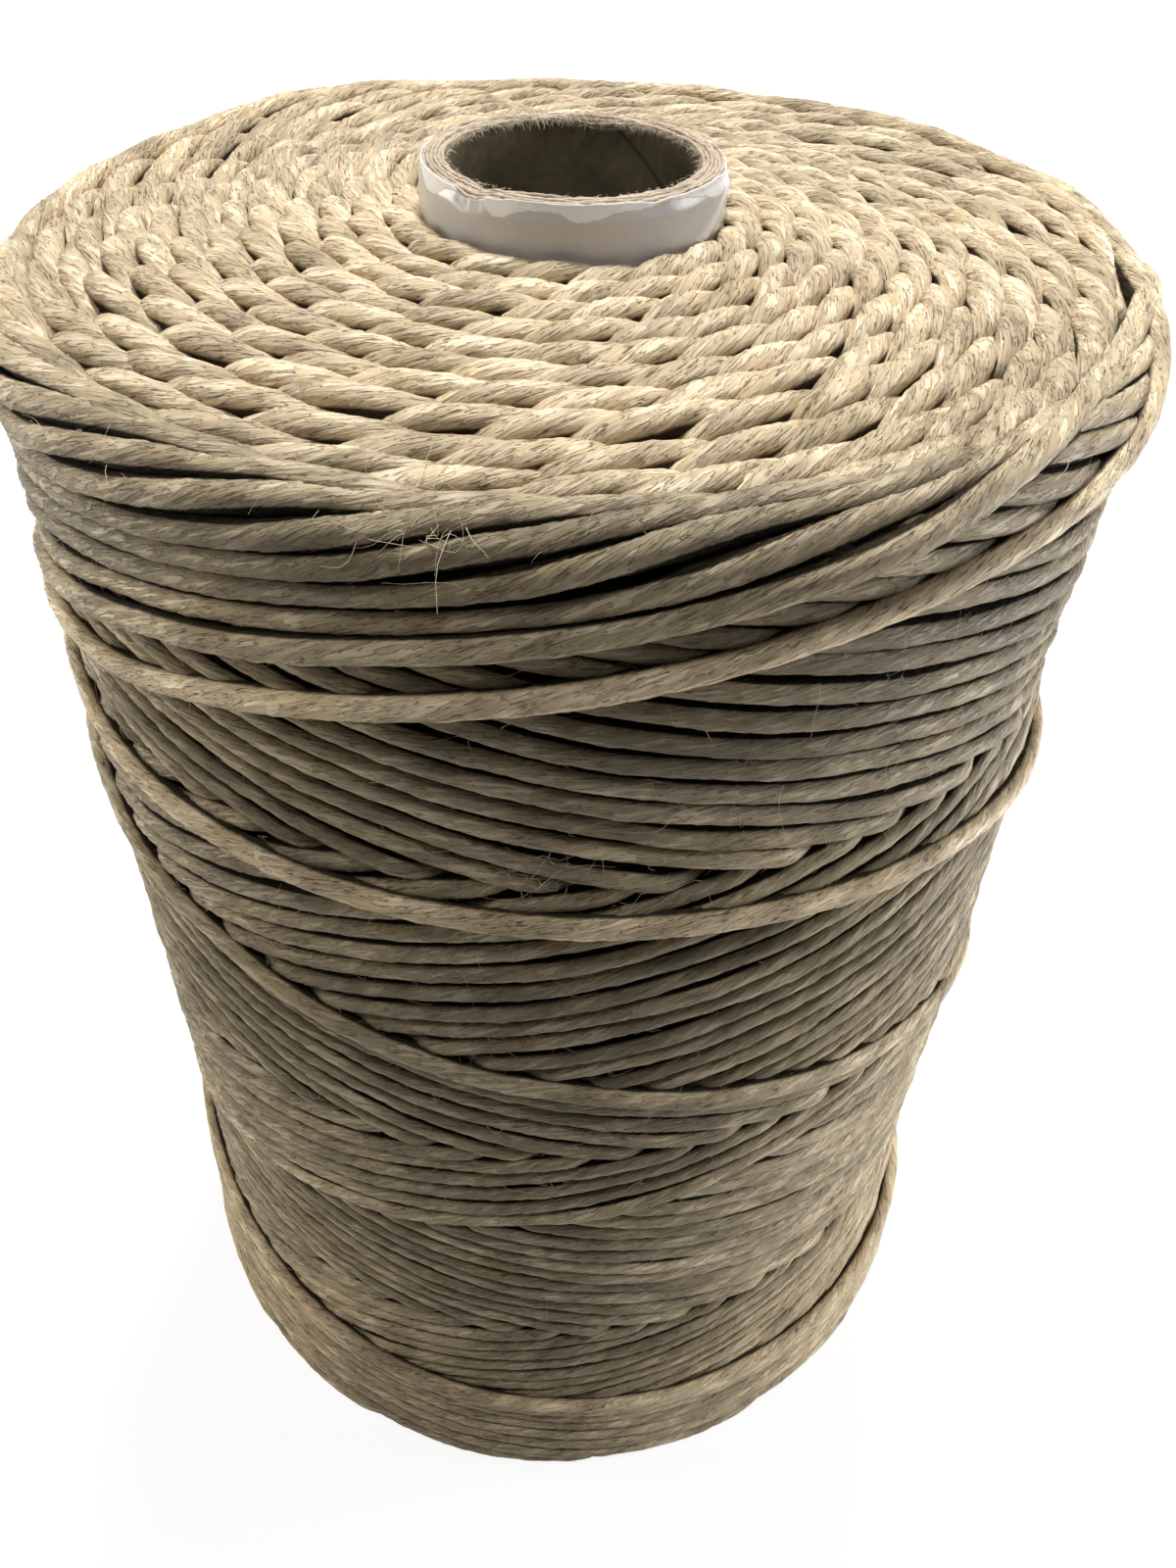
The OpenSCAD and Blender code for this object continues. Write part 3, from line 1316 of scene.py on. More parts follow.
    def _stretch(self, rng: np.random.Generator, run: np.ndarray, angle: np.ndarray, off: np.ndarray,
                 span: tuple[int, int], ends: list[tuple[float, float]], born: float) -> Strand:
        """Makes one visible stretch of a turn, with its tucked ends.

        Args:
            rng: Source of the random deviations.
            run: Run of each sample of the turn.
            angle: Angle round the axis of each sample.
            off: Angle of each sample from the turning point.
            span: First and last sample that shows.
            ends: For each end, where its dive starts and how long it is.
            born: The turn's birthday.

        Returns:
            The stretch.
        """
        (a, b), ((before_a, tuck_a), (before_b, tuck_b)) = span, ends
        first = max(a - int(tuck_a / self.step), 0)
        pick = np.arange(first, min(b + int(tuck_b / self.step), len(run) - 1) + 1)
        dip = self.sink * np.maximum(ease(((a - pick) * self.step + before_a) / tuck_a),
                                     ease(((pick - b) * self.step + before_b) / tuck_b))
        along = pick * self.step
        place, turn = run[pick], angle[pick]
        over = ease((place - self.outline.shoulder_z + 6.0) / 12.0)
        lift = wander(rng, along, 0.22, 60.0) + 0.7 * hill(off[pick], -4.0, 9.0) - dip
        newest = ease((born - self.newest_from) / self.newest_fade) * ease(np.abs(off[pick]) / 25.0)
        newest *= np.where(off[pick] < 0.0, 0.3 + 0.7 * ease((place - 190.0) / 15.0), 1.0)
        lift += self.newest_lift * newest
        half_width = self.half_width + wander(rng, along, 0.09, 55.0) + 0.15 * over + 0.10 * newest
        half_height = self.half_height + wander(rng, along, 0.08, 45.0) + 0.1 * over
        stray = rng.normal(0.0, 0.16) + wander(rng, along, 0.30, 90.0)
        points, normals = self.outline.place(place + stray, turn, lift)
        # The newest turns lie proud, and their raised tone is painted light.
        tone = rng.normal(1.0, self.tone_spread) + wander(rng, along, 0.04, 120.0) + 0.12 * newest
        # Painted shadows take tone away.
        tone -= sum(stain.part(place, turn) for stain in self.painted_shadows)
        # Painted shadow darkens the shoulder at the front.
        tone -= self.painted_rim_shadow * over * self.rim_shadow.part(turn)
        wear_and_shade = self._wear_and_shade(place, turn) + rng.normal(0.0, self.wear_and_shade_spread) - 0.18 * newest
        shade = self._shade(place, turn, over) - 0.28 * newest
        return Strand(points, normals, half_width, half_height, tone, np.clip(wear_and_shade, 0.0, 1.0),
                      rng.uniform(*ANY_TWIST), shade)

    def _wear_and_shade(self, run: np.ndarray, angle: np.ndarray) -> np.ndarray:
        """Gives the wear value of the side, which stands partly for real rubbing and dirt and partly for
        painted shade; it is less near the rim, at the foot and low on the right.

        Args:
            run: Run of each place.
            angle: Angle round the axis of each place.

        Returns:
            The wear value, with its painted shade, at each place.
        """
        # The fresh colour starts higher at the front, which paints shade on the front shoulder.
        wear_and_shade = 0.80 - 0.68 * ease((run - 222.0 - 9.0 * self.front.part(angle)) / 25.0)
        wear_and_shade -= 0.35 * ease((70.0 - run) / 60.0)
        return wear_and_shade - 0.30 * self.lighter_low_right.part(angle) * ease((160.0 - run) / 70.0)

    def _shade(self, run: np.ndarray, angle: np.ndarray, over: np.ndarray) -> np.ndarray:
        """Gives how strong the painted shade in the lines between the turns is, which is most at the upper
        front.

        Args:
            run: Run of each place.
            angle: Angle round the axis of each place.
            over: 1 where a place lies on the shoulder.

        Returns:
            The shade at each place.
        """
        front = self.front.part(angle)
        shade = 0.86 + 0.14 * front - 0.25 * over * self.back_rim.part(angle)
        shade += (0.16 * ease((run - 200.0) / 15.0) - 0.10 * ease((100.0 - run) / 60.0)) * front
        shade -= 0.10 * (1.0 - front) * ease((150.0 - run) / 60.0)
        return shade - 0.16 * self.light_left.part(angle) * ease((run - 190.0) / 20.0)


@dataclass
class FaceRings:
    """One end face of the wound body: rings of slanting arcs, each lying on the tail of the one before."""

    side: Side
    radii: list[float]
    crest_z: float
    dome: float = 3.9
    dome_reach: float = 42.0
    sag: float = 2.0
    rise_right: float = 0.62
    rise_left: float = 0.58
    few: int = 20
    many: int = 33
    step: float = 1.25
    lean: float = 2.2
    slant: float = 1.2
    bare_from: float = 76.0
    tail: float = 3.4
    crest_at: float = -0.22
    half_width: float = 2.32
    half_height: float = 2.2
    lower: float = 1.6
    lower_off: tuple[float, float] = (-2.6, 1.7)
    lower_from: float = 150.0
    lower_to: float = 514.0
    lower_step: float = 2.0
    lower_width: float = 2.0
    lower_height: float = 1.9
    # The lower turns' lower tone and higher wear value paint shade on the layer below the face.
    lower_tone: float = 0.85
    lower_wear_and_shade: float = 0.30
    shade: float = 0.72
    seed: int = 3
    painted_shade_front: Sector = Sector(-90.0, 45.0, 40.0)
    darker_back: Sector = Sector(90.0, 55.0, 40.0)

    def build(self, name: str, twine: bpy.types.Material, *nodes: str) -> None:
        """Builds and dresses the face."""
        strand_piece(name, self.strands(), twine, *nodes)

    def crest(self, r: float, angle: np.ndarray) -> np.ndarray:
        """Gives the height of the face: a low dome whose rim sags towards the front.

        Args:
            r: Radius of the places.
            angle: Angle round the axis of each place.

        Returns:
            The height at each place.
        """
        up = self.dome * max(0.0, 1.0 - (r - self.radii[0]) / self.dome_reach) ** 1.15
        back = self.rise_right * RISE_RIGHT.part(angle) + self.rise_left * RISE_LEFT.part(angle)
        down = self.sag * (frontness(angle) - back) * float(ease((r - 62.0) / 14.0))
        return self.crest_z + self.side.value * (up - down)

    def strands(self) -> list[Strand]:
        """Makes every arc of the face.

        Returns:
            The arcs as short strands with both ends tucked in.
        """
        rng = np.random.default_rng(self.seed)
        found = []
        for r in self.radii:
            part = (r - self.radii[0]) / (self.radii[-1] - self.radii[0])
            arcs = round(self.many - (self.many - self.few) * (1.0 - part) ** 2.2)
            start = rng.uniform(0.0, 360.0)
            for number in range(arcs):
                middle = start + 360.0 * (number + rng.normal(0.0, 0.08)) / arcs
                slanted = float(SLANT.part(middle))
                if r > self.bare_from and slanted > 0.5:
                    continue
                found.append(self._arc(rng, r, middle, math.tau * r / arcs, slanted))
        return found + self._lower_turns(rng)

    def _lower_turns(self, rng: np.random.Generator) -> list[Strand]:
        """Makes the turns of the layer below that show in the gaps along the rim.

        Args:
            rng: Source of the random deviations.

        Returns:
            The turns.
        """
        found = []
        for off in self.lower_off:
            r = self.radii[-1] + off
            angle = np.arange(self.lower_from, self.lower_to, math.degrees(self.lower_step / r))
            turn = np.radians(angle)
            drop = self.half_height + self.lower + wander(rng, turn * r, 0.15, 40.0)
            z = self.crest(r, angle) - self.side.value * drop
            points = np.column_stack([r * np.cos(turn), r * np.sin(turn), z])
            level = np.zeros_like(turn)
            normals = np.column_stack([level, level, np.full_like(turn, self.side.value)])
            found.append(Strand(points, normals, self.lower_width, self.lower_height, self.lower_tone,
                                self.lower_wear_and_shade, rng.uniform(*ANY_TWIST), self.shade))
        return found

    def _arc(self, rng: np.random.Generator, r: float, middle: float, spacing: float,
             slanted: float) -> Strand:
        """Makes one arc that comes up on the outer side and sinks away on the inner side.

        Args:
            rng: Source of the random deviations.
            r: Radius of the arc's ring.
            middle: Angle of its middle.
            spacing: Distance to the next arc of the ring.
            slanted: 1 where the arcs slant over the rim.

        Returns:
            The arc.
        """
        outer = float(ease((r - 60.0) / 12.0)) * slanted
        half = spacing * rng.uniform(0.98, 1.12)
        u = np.linspace(-1.0, 1.0, max(int(2.0 * half / self.step), 9))
        lean = (self.lean + self.slant * outer) * rng.uniform(0.85, 1.15)
        back = float(ease((r - 70.0) / 8.0) * BACK.part(middle))
        radius = r + 1.6 * outer + 0.8 * back - lean * np.sin(0.5 * math.pi * u) + rng.normal(0.0, 0.15)
        angle = np.radians(middle) + u * half / r
        later = np.maximum(u - self.crest_at, 0.0) / (1.0 - self.crest_at)
        sooner = np.maximum(self.crest_at - u, 0.0) / (1.0 + self.crest_at)
        fall = self.tail * (0.75 * later ** 1.6 + 0.55 * ease((later - 0.75) / 0.25)) + 3.7 * sooner ** 2.4
        fall += rng.normal(0.15, 0.20)
        z = self.crest(r, np.degrees(angle)) - self.side.value * (self.half_height + np.maximum(fall, 0.0))
        tilt = 0.45 * np.sin(0.5 * math.pi * u)
        points = np.column_stack([radius * np.cos(angle), radius * np.sin(angle), z])
        normals = np.column_stack([-tilt * np.cos(angle), -tilt * np.sin(angle),
                                   np.full_like(u, float(self.side.value))])
        fat = 1.0 - np.where(u < 0.0, 0.32, 0.20) * u ** 2
        # Painted shade darkens the arcs at the front rim; the arcs are also darker towards the back.
        rim = float(ease((r - 66.0) / 14.0) * self.painted_shade_front.part(middle))
        far = float(ease((r - 34.0) / 20.0) * self.darker_back.part(middle))
        tone = rng.normal(1.0, 0.06) - 0.10 * rim - 0.10 * far
        wear_and_shade = float(np.clip(rng.normal(0.05, 0.08), 0.0, 1.0))
        half_width = self.half_width * rng.uniform(0.93, 1.08) * fat
        half_height = self.half_height * rng.uniform(0.94, 1.04) * fat
        twist_from = rng.uniform(*ANY_TWIST)
        return Strand(points, normals, half_width, half_height, tone, wear_and_shade, twist_from, self.shade)


def revolve(name: str, profile: list[tuple[float, float]], steps: int) -> bpy.types.Object:
    """Turns a closed outline round the axis.

    Args:
        name: Name of the new object.
        profile: Corners of the outline as radius and height in millimetres.
        steps: Number of facets round the axis.

    Returns:
        The new object, closed and facing outwards.
    """
    bm = bmesh.new()
    verts = [bm.verts.new((r * MM, 0.0, z * MM)) for r, z in profile]
    edges = [bm.edges.new((verts[i], verts[(i + 1) % len(verts)])) for i in range(len(verts))]
    bmesh.ops.spin(bm, geom=verts + edges, axis=(0, 0, 1), cent=(0, 0, 0), angle=math.tau,
                   steps=steps, use_merge=True, use_duplicate=False)
    bmesh.ops.remove_doubles(bm, verts=bm.verts, dist=1e-7)
    bmesh.ops.recalc_face_normals(bm, faces=bm.faces)
    for face in bm.faces:
        face.smooth = True
    mesh = bpy.data.meshes.new(name)
    bm.to_mesh(mesh)
    bm.free()
    return add_object(name, mesh)


@dataclass
class UnderTurns:
    """The shaded turns under the outer ones, as one dark body."""

    outline: Outline
    tube_r: float
    depth: float = 2.7
    steps: int = 128
    first_run: float = -20.0
    face_reach: float = 50.0
    side_rows: int = 60
    face_rows: int = 24

    def build(self) -> None:
        """Builds and dresses the body."""
        shoulder = self.outline.shoulder_z
        side = np.linspace(self.first_run, shoulder, self.side_rows)
        face_end = self.outline.shoulder_run + self.face_reach
        face = np.linspace(shoulder + 1.0, face_end, self.face_rows)
        runs = np.concatenate([side, face])
        points, _ = self.outline.place(runs, np.zeros_like(runs), np.full_like(runs, -self.depth))
        profile = [(self.tube_r, points[0][2])] + [(p[0], p[2]) for p in points]
        profile.append((self.tube_r, points[-1][2]))
        piece = revolve("under_turns", profile, self.steps)
        # The near-black colour of this body is painted shade.
        finish = PlainFinish("shaded_twine", (0.075, 0.055, 0.034), (0.03, 0.022, 0.014), roughness=0.9)
        dress(piece, finish.material(), TWINE, "wound_body")


@dataclass(frozen=True)
class Tear:
    """How one ply is torn at the cut end: evenly ragged, with chips at chosen angles.

    A chip is given by its middle angle, its reach to each side and its depth.
    """

    drop: float = 0.1
    size: float = 0.3
    chips: tuple[Triple, ...] = ()

    def depth(self, rng: np.random.Generator, angle: np.ndarray) -> np.ndarray:
        """Gives how far the torn edge lies below the cut end.

        Args:
            rng: Source of the random harmonics.
            angle: Angles round the axis, in degrees.

        Returns:
            The depth in millimetres at each angle.
        """
        cut = np.full_like(angle, self.drop)
        for wave in (3, 5, 9, 14, 23, 37, 61, 97):
            phase = rng.uniform(0.0, math.tau)
            reach = self.size * rng.uniform(0.4, 1.0)
            cut += reach * np.sin(wave * np.radians(angle) + phase) / wave ** 0.45
        for middle, reach, deep in self.chips:
            cut += deep * np.exp(-(apart(angle, middle) / reach) ** 2.6)
        return cut


@dataclass
class Tube:
    """The cardboard tube: liner, board plies and white cover, torn where the end was cut."""

    bore_r: float
    liner_r: float
    board_r: list[float]
    wall_r: float
    height: float
    seed: int = 11
    steps: int = 360
    bevel: float = 0.45
    bevel_height: float = 2.4
    torn_height: float = 6.0
    softening: float = 0.12
    low_rows: tuple[float, ...] = (0.0, 60.0, 120.0, 180.0, 225.0)
    torn_rows: tuple[float, ...] = (
        14.0, 12.0, 10.5, 9.2, 8.1, 7.1, 6.2, 5.4, 4.7, 4.1, 3.5, 3.0, 2.5, 2.1, 1.7, 1.3, 1.0, 0.7, 0.4,
    )
    liner_tear: Tear = Tear(0.7, 0.42, (
        (80.0, 16.0, 0.9), (108.0, 7.0, -0.5), (62.0, 5.0, 0.7), (-30.0, 9.0, 0.4),
    ))
    cover_tear: Tear = Tear(0.12, 0.16, (
        (-133.0, 3.4, 0.9), (-127.0, 4.4, 0.9), (-118.0, 3.0, 0.3), (-60.0, 4.0, 0.3), (-12.0, 8.0, 0.4),
        (90.0, 66.0, 0.9),
    ))
    peeled: Tear = Tear(0.9, 0.45, (
        (-152.0, 10.0, 1.6), (-116.0, 6.0, 1.4), (-86.0, 8.0, 1.3), (-64.0, 5.0, 0.5), (-22.0, 14.0, 1.6),
    ))
    peel_depth: float = 0.04
    crease_from: tuple[float, float] = (-10.0, 253.0)
    crease_to: tuple[float, float] = (-50.0, 243.5)
    crease_reach: float = 18.0
    crease_fade: float = 6.0
    crease_width: float = 0.60
    crease_out: float = 0.42

    def build(self) -> None:
        """Builds and dresses every ply, from the bore outwards."""
        liner = PlainFinish("liner_paper", (0.225, 0.190, 0.118), (0.130, 0.110, 0.066), grain=700.0,
                            patch=110.0, patch_part=0.8, seam=-0.0941)
        board = PlainFinish("core_board", (0.540, 0.445, 0.335), (0.330, 0.255, 0.185), grain=1400.0,
                            grain_depth=0.0003, patch=420.0, patch_part=0.8)
        piece = self.ply("tube_liner", self.bore_r, self.liner_r, self.liner_tear, 0.08)
        dress(piece, liner.material(), "liner_paper", "liner_ply")
        board_material = board.material()
        radii = [self.liner_r] + self.board_r
        for n in range(1, BOARD_PLIES + 1):
            piece = self.ply(f"tube_board_{n}", radii[n - 1], radii[n], self.board_tear(n), 0.07)
            dress(piece, board_material, "core_board", f"board_ply_{n}")
        cover = self.ply("tube_cover", radii[-1], self.wall_r, self.cover_tear, 0.03)
        self.peel(cover)
        dress(cover, CoverFinish().material(), "cover_paper", "cover_ply")

    @staticmethod
    def board_tear(n: int) -> Tear:
        """Gives the tear of one board ply.

        Args:
            n: Number of the ply, counted outwards from 1.

        Returns:
            Its tear, deeper towards the bore and the cover than in the middle of the wall.
        """
        chips = ((80.0, 14.0, 0.5), (-129.0, 5.0, 0.6)) if n in (1, 2, 6) else ((-129.0, 5.0, 0.3),)
        return Tear(0.05 + 0.07 * abs(n - 3), 0.24, chips)

    def ply(self, name: str, inner: float, outer: float, tear: Tear, rough: float) -> bpy.types.Object:
        """Builds one ply with a torn top edge.

        Args:
            name: Name of the new piece.
            inner: Inner radius of the ply.
            outer: Outer radius of the ply.
            tear: How its top edge is torn.
            rough: How far its torn edge stands in and out, in millimetres.

        Returns:
            The new piece.
        """
        piece = revolve(name, self._profile(inner, outer), self.steps)
        rng = np.random.default_rng(self.seed + int(outer * 10))
        top = self.height
        points = read_points(piece.data)
        angle = np.degrees(np.arctan2(points[:, 1], points[:, 0]))
        cut = tear.depth(rng, angle)
        part = ease((points[:, 2] - (top - self.torn_height)) / self.torn_height)
        edge = ease((points[:, 2] - (top - 1.6)) / 1.4)
        points[:, 2] -= cut * part
        push = rough * edge * np.sin(61.0 * np.radians(angle) + 9.0 * np.sin(17.0 * np.radians(angle)))
        out = (np.hypot(points[:, 0], points[:, 1]) - self.bore_r) / (self.wall_r - self.bore_r)
        bevel_z = top - self.bevel_height
        push -= self.bevel * out * ease((points[:, 2] + cut * part - bevel_z) / self.bevel_height)
        points[:, :2] *= (1.0 + push / np.hypot(points[:, 0], points[:, 1]))[:, None]
        write_points(piece.data, points)
        return piece

    def _profile(self, inner: float, outer: float) -> list[tuple[float, float]]:
        """Draws the section of a ply, with close rows near the torn end.

        Args:
            inner: Inner radius of the ply.
            outer: Outer radius of the ply.

        Returns:
            The corners as radius and height.
        """
        top = self.height
        soft = min(self.softening, (outer - inner) * 0.3)
        rows = list(self.low_rows) + [top - step for step in self.torn_rows]
        profile = [(outer, z) for z in rows] + [(outer - soft * 0.3, top - 0.12), (outer - soft, top)]
        profile += [(inner + soft, top), (inner + soft * 0.3, top - 0.12)]
        return profile + [(inner, z) for z in reversed(rows)]

    def peel(self, cover: bpy.types.Object) -> None:
        """Marks where the cover's top layer is torn off, presses in its fold, and paints a highlight along
        the fold.

        Args:
            cover: The cover's piece.
        """
        mesh = cover.data
        points = read_points(mesh)
        angle = np.degrees(np.arctan2(points[:, 1], points[:, 0]))
        rng = np.random.default_rng(self.seed)
        above = points[:, 2] - (self.height - self.peeled.depth(rng, angle))
        (a0, z0), (a1, z1) = self.crease_from, self.crease_to
        along = np.clip((a0 - angle) / (a0 - a1), 0.0, 1.0)
        off = points[:, 2] - (z0 + (z1 - z0) * along)
        sector = Sector(0.5 * (a0 + a1), self.crease_reach, self.crease_fade).part(angle)
        fold = hill(off, 0.0, self.crease_width) * sector
        push = self.crease_out * fold - self.peel_depth * ease(above / 0.35)
        points[:, :2] *= (1.0 + push / self.wall_r)[:, None]
        # Painted highlight: a bright line on the fold and a soft glow beside it.
        glow = 0.28 * hill(off, -0.8, 2.2) * sector
        looks = {"tear": np.clip(0.5 + above / 1.6, 0.0, 1.0), "crease_highlight": np.maximum(0.85 * fold, glow)}
        add_looks(mesh, looks)
        write_points(mesh, points)


def fibres(name: str, threads: list[Thread]) -> bpy.types.Object:
    """Makes thin tapered tubes along short curved lines.

    Args:
        name: Name of the new object.
        threads: Points of each line and its thickness, in millimetres.

    Returns:
        The new object.
    """
    curve = bpy.data.curves.new(name, "CURVE")
    curve.dimensions = "3D"
    curve.bevel_depth = MM
    curve.bevel_resolution = 0
    curve.use_fill_caps = True
    for points, thick in threads:
        spline = curve.splines.new("POLY")
        spline.points.add(len(points) - 1)
        for i, at in enumerate(points):
            spline.points[i].co = (*(at * MM), 1.0)
            spline.points[i].radius = thick * (1.0 - 0.7 * i / (len(points) - 1))
    line = add_object(name + "_line", curve)
    bpy.context.view_layer.update()
    mesh = bpy.data.meshes.new_from_object(line)
    mesh.name = name
    bpy.data.objects.remove(line)
    return add_object(name, mesh)


@dataclass
class RimFibres:
    """Torn board fibres along the inner edge of the cut end."""

    inner_r: float
    outer_r: float
    top_z: float
    count: int = 1700
    seed: int = 9
    back_part: float = 0.6
    back_angle: float = 85.0
    back_spread: float = 38.0
    droop: float = 0.45

    def build(self) -> None:
        """Builds and dresses the fibres."""
        finish = PlainFinish("rim_fibre", (0.64, 0.545, 0.425), (0.44, 0.36, 0.27))
        dress(fibres("rim_fibres", self.threads()), finish.material(), "core_board")

    def threads(self) -> list[Thread]:
        """Makes the fibres, most of them at the back, where the edge is ragged.

        Returns:
            The points and the thickness of each fibre.
        """
        rng = np.random.default_rng(self.seed)
        sag = np.array([0.0, 0.0, -self.droop])
        u = np.linspace(0.0, 1.0, 4)[:, None]
        found = []
        for _ in range(self.count):
            back = rng.random() < self.back_part
            turn = rng.normal(self.back_angle, self.back_spread) if back else rng.uniform(-180.0, 180.0)
            angle = math.radians(turn)
            r = self.inner_r + (self.outer_r - self.inner_r) * rng.random() ** 2.2
            out = np.array([math.cos(angle), math.sin(angle), 0.0])
            side = np.array([-math.sin(angle), math.cos(angle), 0.0])
            inward = rng.normal(-0.55 if r < self.inner_r + 1.2 else 0.0, 0.5)
            way = inward * out + rng.normal(0.0, 0.7) * side
            way[2] = rng.uniform(-0.2, 0.6)
            way /= np.linalg.norm(way)
            length = rng.uniform(0.4, 1.5) * (1.3 if back else 0.8)
            root = out * r + np.array([0.0, 0.0, self.top_z - rng.uniform(0.1, 0.7)])
            found.append((root + length * (u * way + u * u * sag), rng.uniform(0.03, 0.08)))
        return found


@dataclass
class Fuzz:
    """Loose fibres that stand off the twine, with a few thick tufts.

    A tuft is given by its angle, its run and its number of fibres.
    """

    outline: Outline
    count: int = 3200
    seed: int = 5
    segments: int = 6
    low_run: float = 24.0
    root_lift: float = 1.5
    tufts: tuple[tuple[float, float, int], ...] = (
        (-102.0, 242.5, 20), (-98.5, 241.5, 14), (-127.0, 210.0, 9), (-91.0, 187.5, 26), (-24.0, 236.0, 22),
        (-20.0, 226.0, 14),
    )

    def build(self) -> None:
        """Builds and dresses the fibres."""
        piece = fibres("loose_fibres", self.threads())
        finish = PlainFinish("loose_fibre", (0.72, 0.61, 0.43), (0.60, 0.46, 0.28), roughness=0.6)
        dress(piece, finish.material(), TWINE)

    def threads(self) -> list[Thread]:
        """Makes the lines of all the fibres.

        Returns:
            The points and the thickness of each fibre.
        """
        rng = np.random.default_rng(self.seed)
        found = []
        for _ in range(self.count):
            run = rng.uniform(self.low_run, self.outline.shoulder_run + 4.0)
            angle = rng.uniform(-180.0, 180.0)
            length = rng.gamma(1.6, 1.1) + 1.0
            found.append(self._fibre(rng, run, angle, length, rng.uniform(0.028, 0.045)))
        for tuft_angle, tuft_run, number in self.tufts:
            for _ in range(number):
                run = tuft_run + rng.normal(0.0, 1.8)
                angle = tuft_angle + rng.normal(0.0, 2.2)
                length = min(rng.gamma(2.5, 1.1) + 1.5, 6.5)
                found.append(self._fibre(rng, run, angle, length, rng.uniform(0.04, 0.07)))
        return found

    def _fibre(self, rng: np.random.Generator, run: float, angle: float, length: float,
               thick: float) -> Thread:
        """Makes one curved fibre that starts in the surface of the twine.

        Args:
            rng: Source of the random directions and curls.
            run: Run of its root.
            angle: Angle of its root round the axis.
            length: Its length.
            thick: Its thickness.

        Returns:
            Its points and its thickness.
        """
        root, normal = self.outline.place(np.array([run]), np.array([angle]), np.array([self.root_lift]))
        turn = math.radians(angle)
        level = np.array([-math.sin(turn), math.cos(turn), 0.0])
        upward = np.cross(normal[0], level)
        heading = rng.uniform(-1.0, 1.0) + (math.pi if rng.random() < 0.5 else 0.0)
        way = math.cos(heading) * level + math.sin(heading) * upward
        rise = rng.uniform(0.10, 0.60)
        side = np.cross(normal[0], way)
        u = np.linspace(0.0, 1.0, self.segments)[:, None]
        curl = rng.normal(0.0, 0.7) * u * u + rng.normal(0.0, 0.22) * np.sin(rng.uniform(3.0, 8.0) * u)
        line = u * way + u * (1.0 - 0.75 * u) * rise * normal[0] + curl * side
        return root[0] + length * line, thick


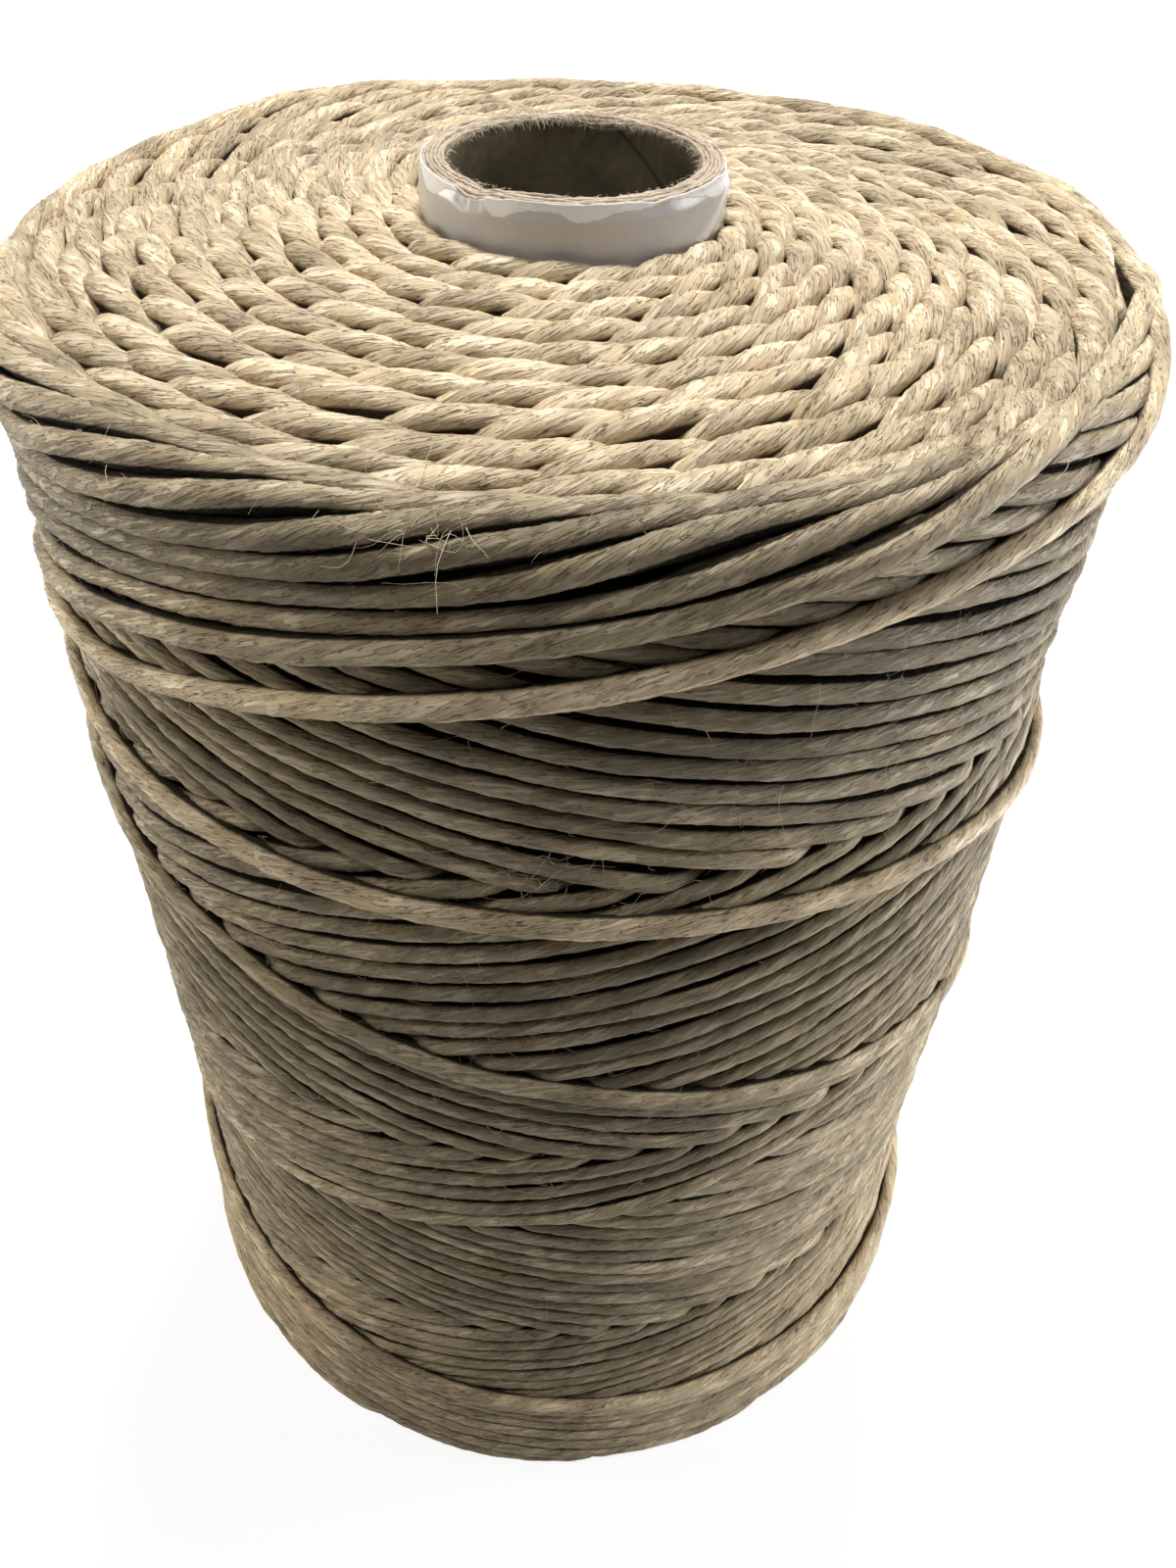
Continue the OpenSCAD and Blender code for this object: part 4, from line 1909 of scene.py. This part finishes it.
@dataclass
class Studio:
    """Camera, floor and lights.

    The camera's distance and height are counted in units, and the unit is in millimetres.
    """

    focal_px: float = 1325.06
    long_side_px: float = 1600.0
    sensor: float = 36.0
    unit: float = 87.5
    pitch: float = 41.931
    roll: float = -1.846
    yaw: float = 1.422
    distance: float = 2.3879
    height: float = 3.5941
    fill: float = 0.016
    floor_half: float = 9.0
    floor_glow_from: float = 0.10
    floor_glow_to: float = 0.75
    floor_glow: float = 0.88
    floor_seen: float = 0.20
    floor_bounce: float = 0.52
    look_at: Triple = (0.0, 0.0, 0.12)

    def build(self) -> None:
        """Sets up the camera, the floor and the light."""
        self.camera()
        self.floor()
        self.lamp("overhead", (0.06, 0.36, 1.20), 0.28, 15.1)
        self.lamp("grazing", (-0.10, -0.32, 1.30), 0.24, 3.8)
        self.lamp("left_window", (-1.10, 0.20, 0.10), 0.60, 13.5, (1.0, 0.93, 0.80))
        self.lamp("right_window", (1.10, 0.04, 0.40), 0.40, 4.6)
        self.lamp("right_low", (0.46, -0.04, 0.02), 0.20, 2.3, (0.97, 0.98, 1.0))
        self.world()
        bpy.context.scene.view_settings.view_transform = "Standard"

    def camera(self) -> None:
        """Places the camera and makes it the scene's camera."""
        p, r, w = (math.radians(a) for a in (self.pitch, self.roll, self.yaw))
        right = Vector((math.cos(w), -math.sin(w), 0.0))
        ahead = Vector((math.sin(w) * math.cos(p), math.cos(w) * math.cos(p), -math.sin(p)))
        up = Vector((math.sin(w) * math.sin(p), math.cos(w) * math.sin(p), math.cos(p)))
        x_axis = math.cos(r) * right - math.sin(r) * up
        y_axis = math.sin(r) * right + math.cos(r) * up
        matrix = Matrix((x_axis, y_axis, -ahead)).transposed().to_4x4()
        matrix.translation = Vector((0.0, -self.distance, self.height)) * self.unit * MM
        data = bpy.data.cameras.new("camera")
        data.sensor_fit = "VERTICAL"
        data.sensor_height = self.sensor
        data.lens = self.focal_px / self.long_side_px * data.sensor_height
        data.clip_start = 0.01
        camera = add_object("camera", data)
        camera.matrix_world = matrix
        bpy.context.scene.camera = camera

    def floor(self) -> None:
        """Lays the pale floor.

        The floor looks white to the camera and keeps a soft shadow, and it throws little light back.
        """
        bm = bmesh.new()
        bmesh.ops.create_grid(bm, x_segments=1, y_segments=1, size=self.floor_half)
        mesh = bpy.data.meshes.new("floor")
        bm.to_mesh(mesh)
        bm.free()
        floor = add_object("floor", mesh)
        graph = Graph("floor_white")
        length = graph.add("ShaderNodeVectorMath", operation="LENGTH")
        graph.link(graph.place(), length.inputs[0])
        away = length.outputs["Value"]
        glow = graph.ramp(away, self.floor_glow_from, self.floor_glow_to, self.floor_glow, 1.0)
        bounce = graph.add("ShaderNodeBsdfDiffuse")
        bounce.inputs["Color"].default_value = (*(self.floor_bounce,) * 3, 1.0)
        seen = graph.add("ShaderNodeBsdfDiffuse")
        seen.inputs["Color"].default_value = (*(self.floor_seen,) * 3, 1.0)
        white = graph.add("ShaderNodeEmission")
        graph.link(glow, white.inputs["Strength"])
        both = graph.add("ShaderNodeAddShader")
        graph.link(seen.outputs[0], both.inputs[0])
        graph.link(white.outputs[0], both.inputs[1])
        self._show(graph, bounce, both, "ShaderNodeOutputMaterial")
        mesh.materials.append(graph.material)

    def world(self) -> None:
        """Fills the scene with soft light, white where the camera looks past the floor."""
        world = bpy.data.worlds.new("studio")
        world.use_nodes = True
        bpy.context.scene.world = world
        graph = Graph.of_tree(world.node_tree)
        soft = graph.add("ShaderNodeBackground")
        soft.inputs["Strength"].default_value = self.fill
        white = graph.add("ShaderNodeBackground")
        white.inputs["Color"].default_value = (1.0, 1.0, 1.0, 1.0)
        white.inputs["Strength"].default_value = 1.0
        self._show(graph, soft, white, "ShaderNodeOutputWorld")

    @staticmethod
    def _show(graph: Graph, lit: bpy.types.Node, seen: bpy.types.Node, output: str) -> None:
        """Shows one shader to the rays that look, and the other to the rays that carry light.

        Args:
            graph: The graph that holds the shaders.
            lit: Shader for the rays that carry light.
            seen: Shader for the rays that look.
            output: Type of the output node.
        """
        mix = graph.add("ShaderNodeMixShader")
        graph.link(graph.seen_ray(), mix.inputs[0])
        graph.link(lit.outputs[0], mix.inputs[1])
        graph.link(seen.outputs[0], mix.inputs[2])
        graph.link(mix.outputs[0], graph.add(output).inputs[0])

    def lamp(self, name: str, at: Triple, size: float, power: float,
             colour: Triple = (1.0, 1.0, 1.0)) -> None:
        """Hangs a square soft lamp that looks at the middle of the spool.

        Args:
            name: Name of the lamp.
            at: Its place, in metres.
            size: Length of its sides, in metres.
            power: Its power in watts.
            colour: Colour of its light.
        """
        data = bpy.data.lights.new(name, "AREA")
        data.size = size
        data.energy = power
        data.color = colour
        lamp = add_object(name, data)
        lamp.location = at
        lamp.rotation_euler = (Vector(self.look_at) - Vector(at)).to_track_quat("-Z", "Y").to_euler()


class Spool:
    """The whole spool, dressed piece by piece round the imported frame."""

    side_in: float = 0.35
    top_in: float = 1.9
    first_ring: float = 2.3
    top_pitch: float = 5.35
    top_rings: int = 11
    foot_pitch: float = 5.2
    foot_rings: int = 12
    cut_over: float = 0.5
    fibre_in: float = 0.4

    def __init__(self, record: dict) -> None:
        """Reads the driving sizes from the frame.

        Args:
            record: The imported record.
        """
        face_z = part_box("face_turns")[1].z / MM
        bore_r = next(m["dims"]["r_mm"] for m in record["mounts"] if m["kind"] == "bore")
        liner_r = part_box("liner_ply")[1].x / MM
        board_r = [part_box(f"board_ply_{n}")[1].x / MM for n in range(1, BOARD_PLIES + 1)]
        tube_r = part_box("cover_ply")[1].x / MM
        rim_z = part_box("cover_ply")[1].z / MM + self.cut_over
        body_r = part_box("wound_body")[1].x / MM
        self.outline = Outline(side_r=body_r - self.side_in, top_z=face_z - self.top_in)
        self.under = UnderTurns(self.outline, tube_r)
        self.last = LastTurns(self.outline)
        self.cross = CrossWinding(self.outline, self.last)
        inner = tube_r + self.first_ring
        top_radii = [inner + self.top_pitch * ring for ring in range(self.top_rings)]
        foot_radii = [inner + self.foot_pitch * ring for ring in range(self.foot_rings)]
        self.top = FaceRings(Side.TOP, top_radii, face_z)
        self.foot = FaceRings(Side.FOOT, foot_radii, 0.0, dome=0.0, sag=0.0, slant=0.0, step=2.0, seed=4)
        self.tube = Tube(bore_r, liner_r, board_r, tube_r, rim_z)
        self.rim = RimFibres(bore_r, tube_r - self.fibre_in, rim_z)
        self.fuzz = Fuzz(self.outline)

    def build(self) -> None:
        """Builds the twine, the tube and the loose fibres."""
        twine = TwineFinish().material()
        self.under.build()
        self.cross.build(twine)
        self.last.build(twine)
        self.top.build("top_face_turns", twine, "face_turns")
        self.foot.build("foot_face_turns", twine)
        self.tube.build()
        self.rim.build()
        self.fuzz.build()


def main() -> None:
    """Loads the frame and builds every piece."""
    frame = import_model()
    Studio().build()
    Spool(frame["record"]).build()


if __name__ == "__main__":
    logging.basicConfig(level=logging.INFO, format="%(message)s")
    main()
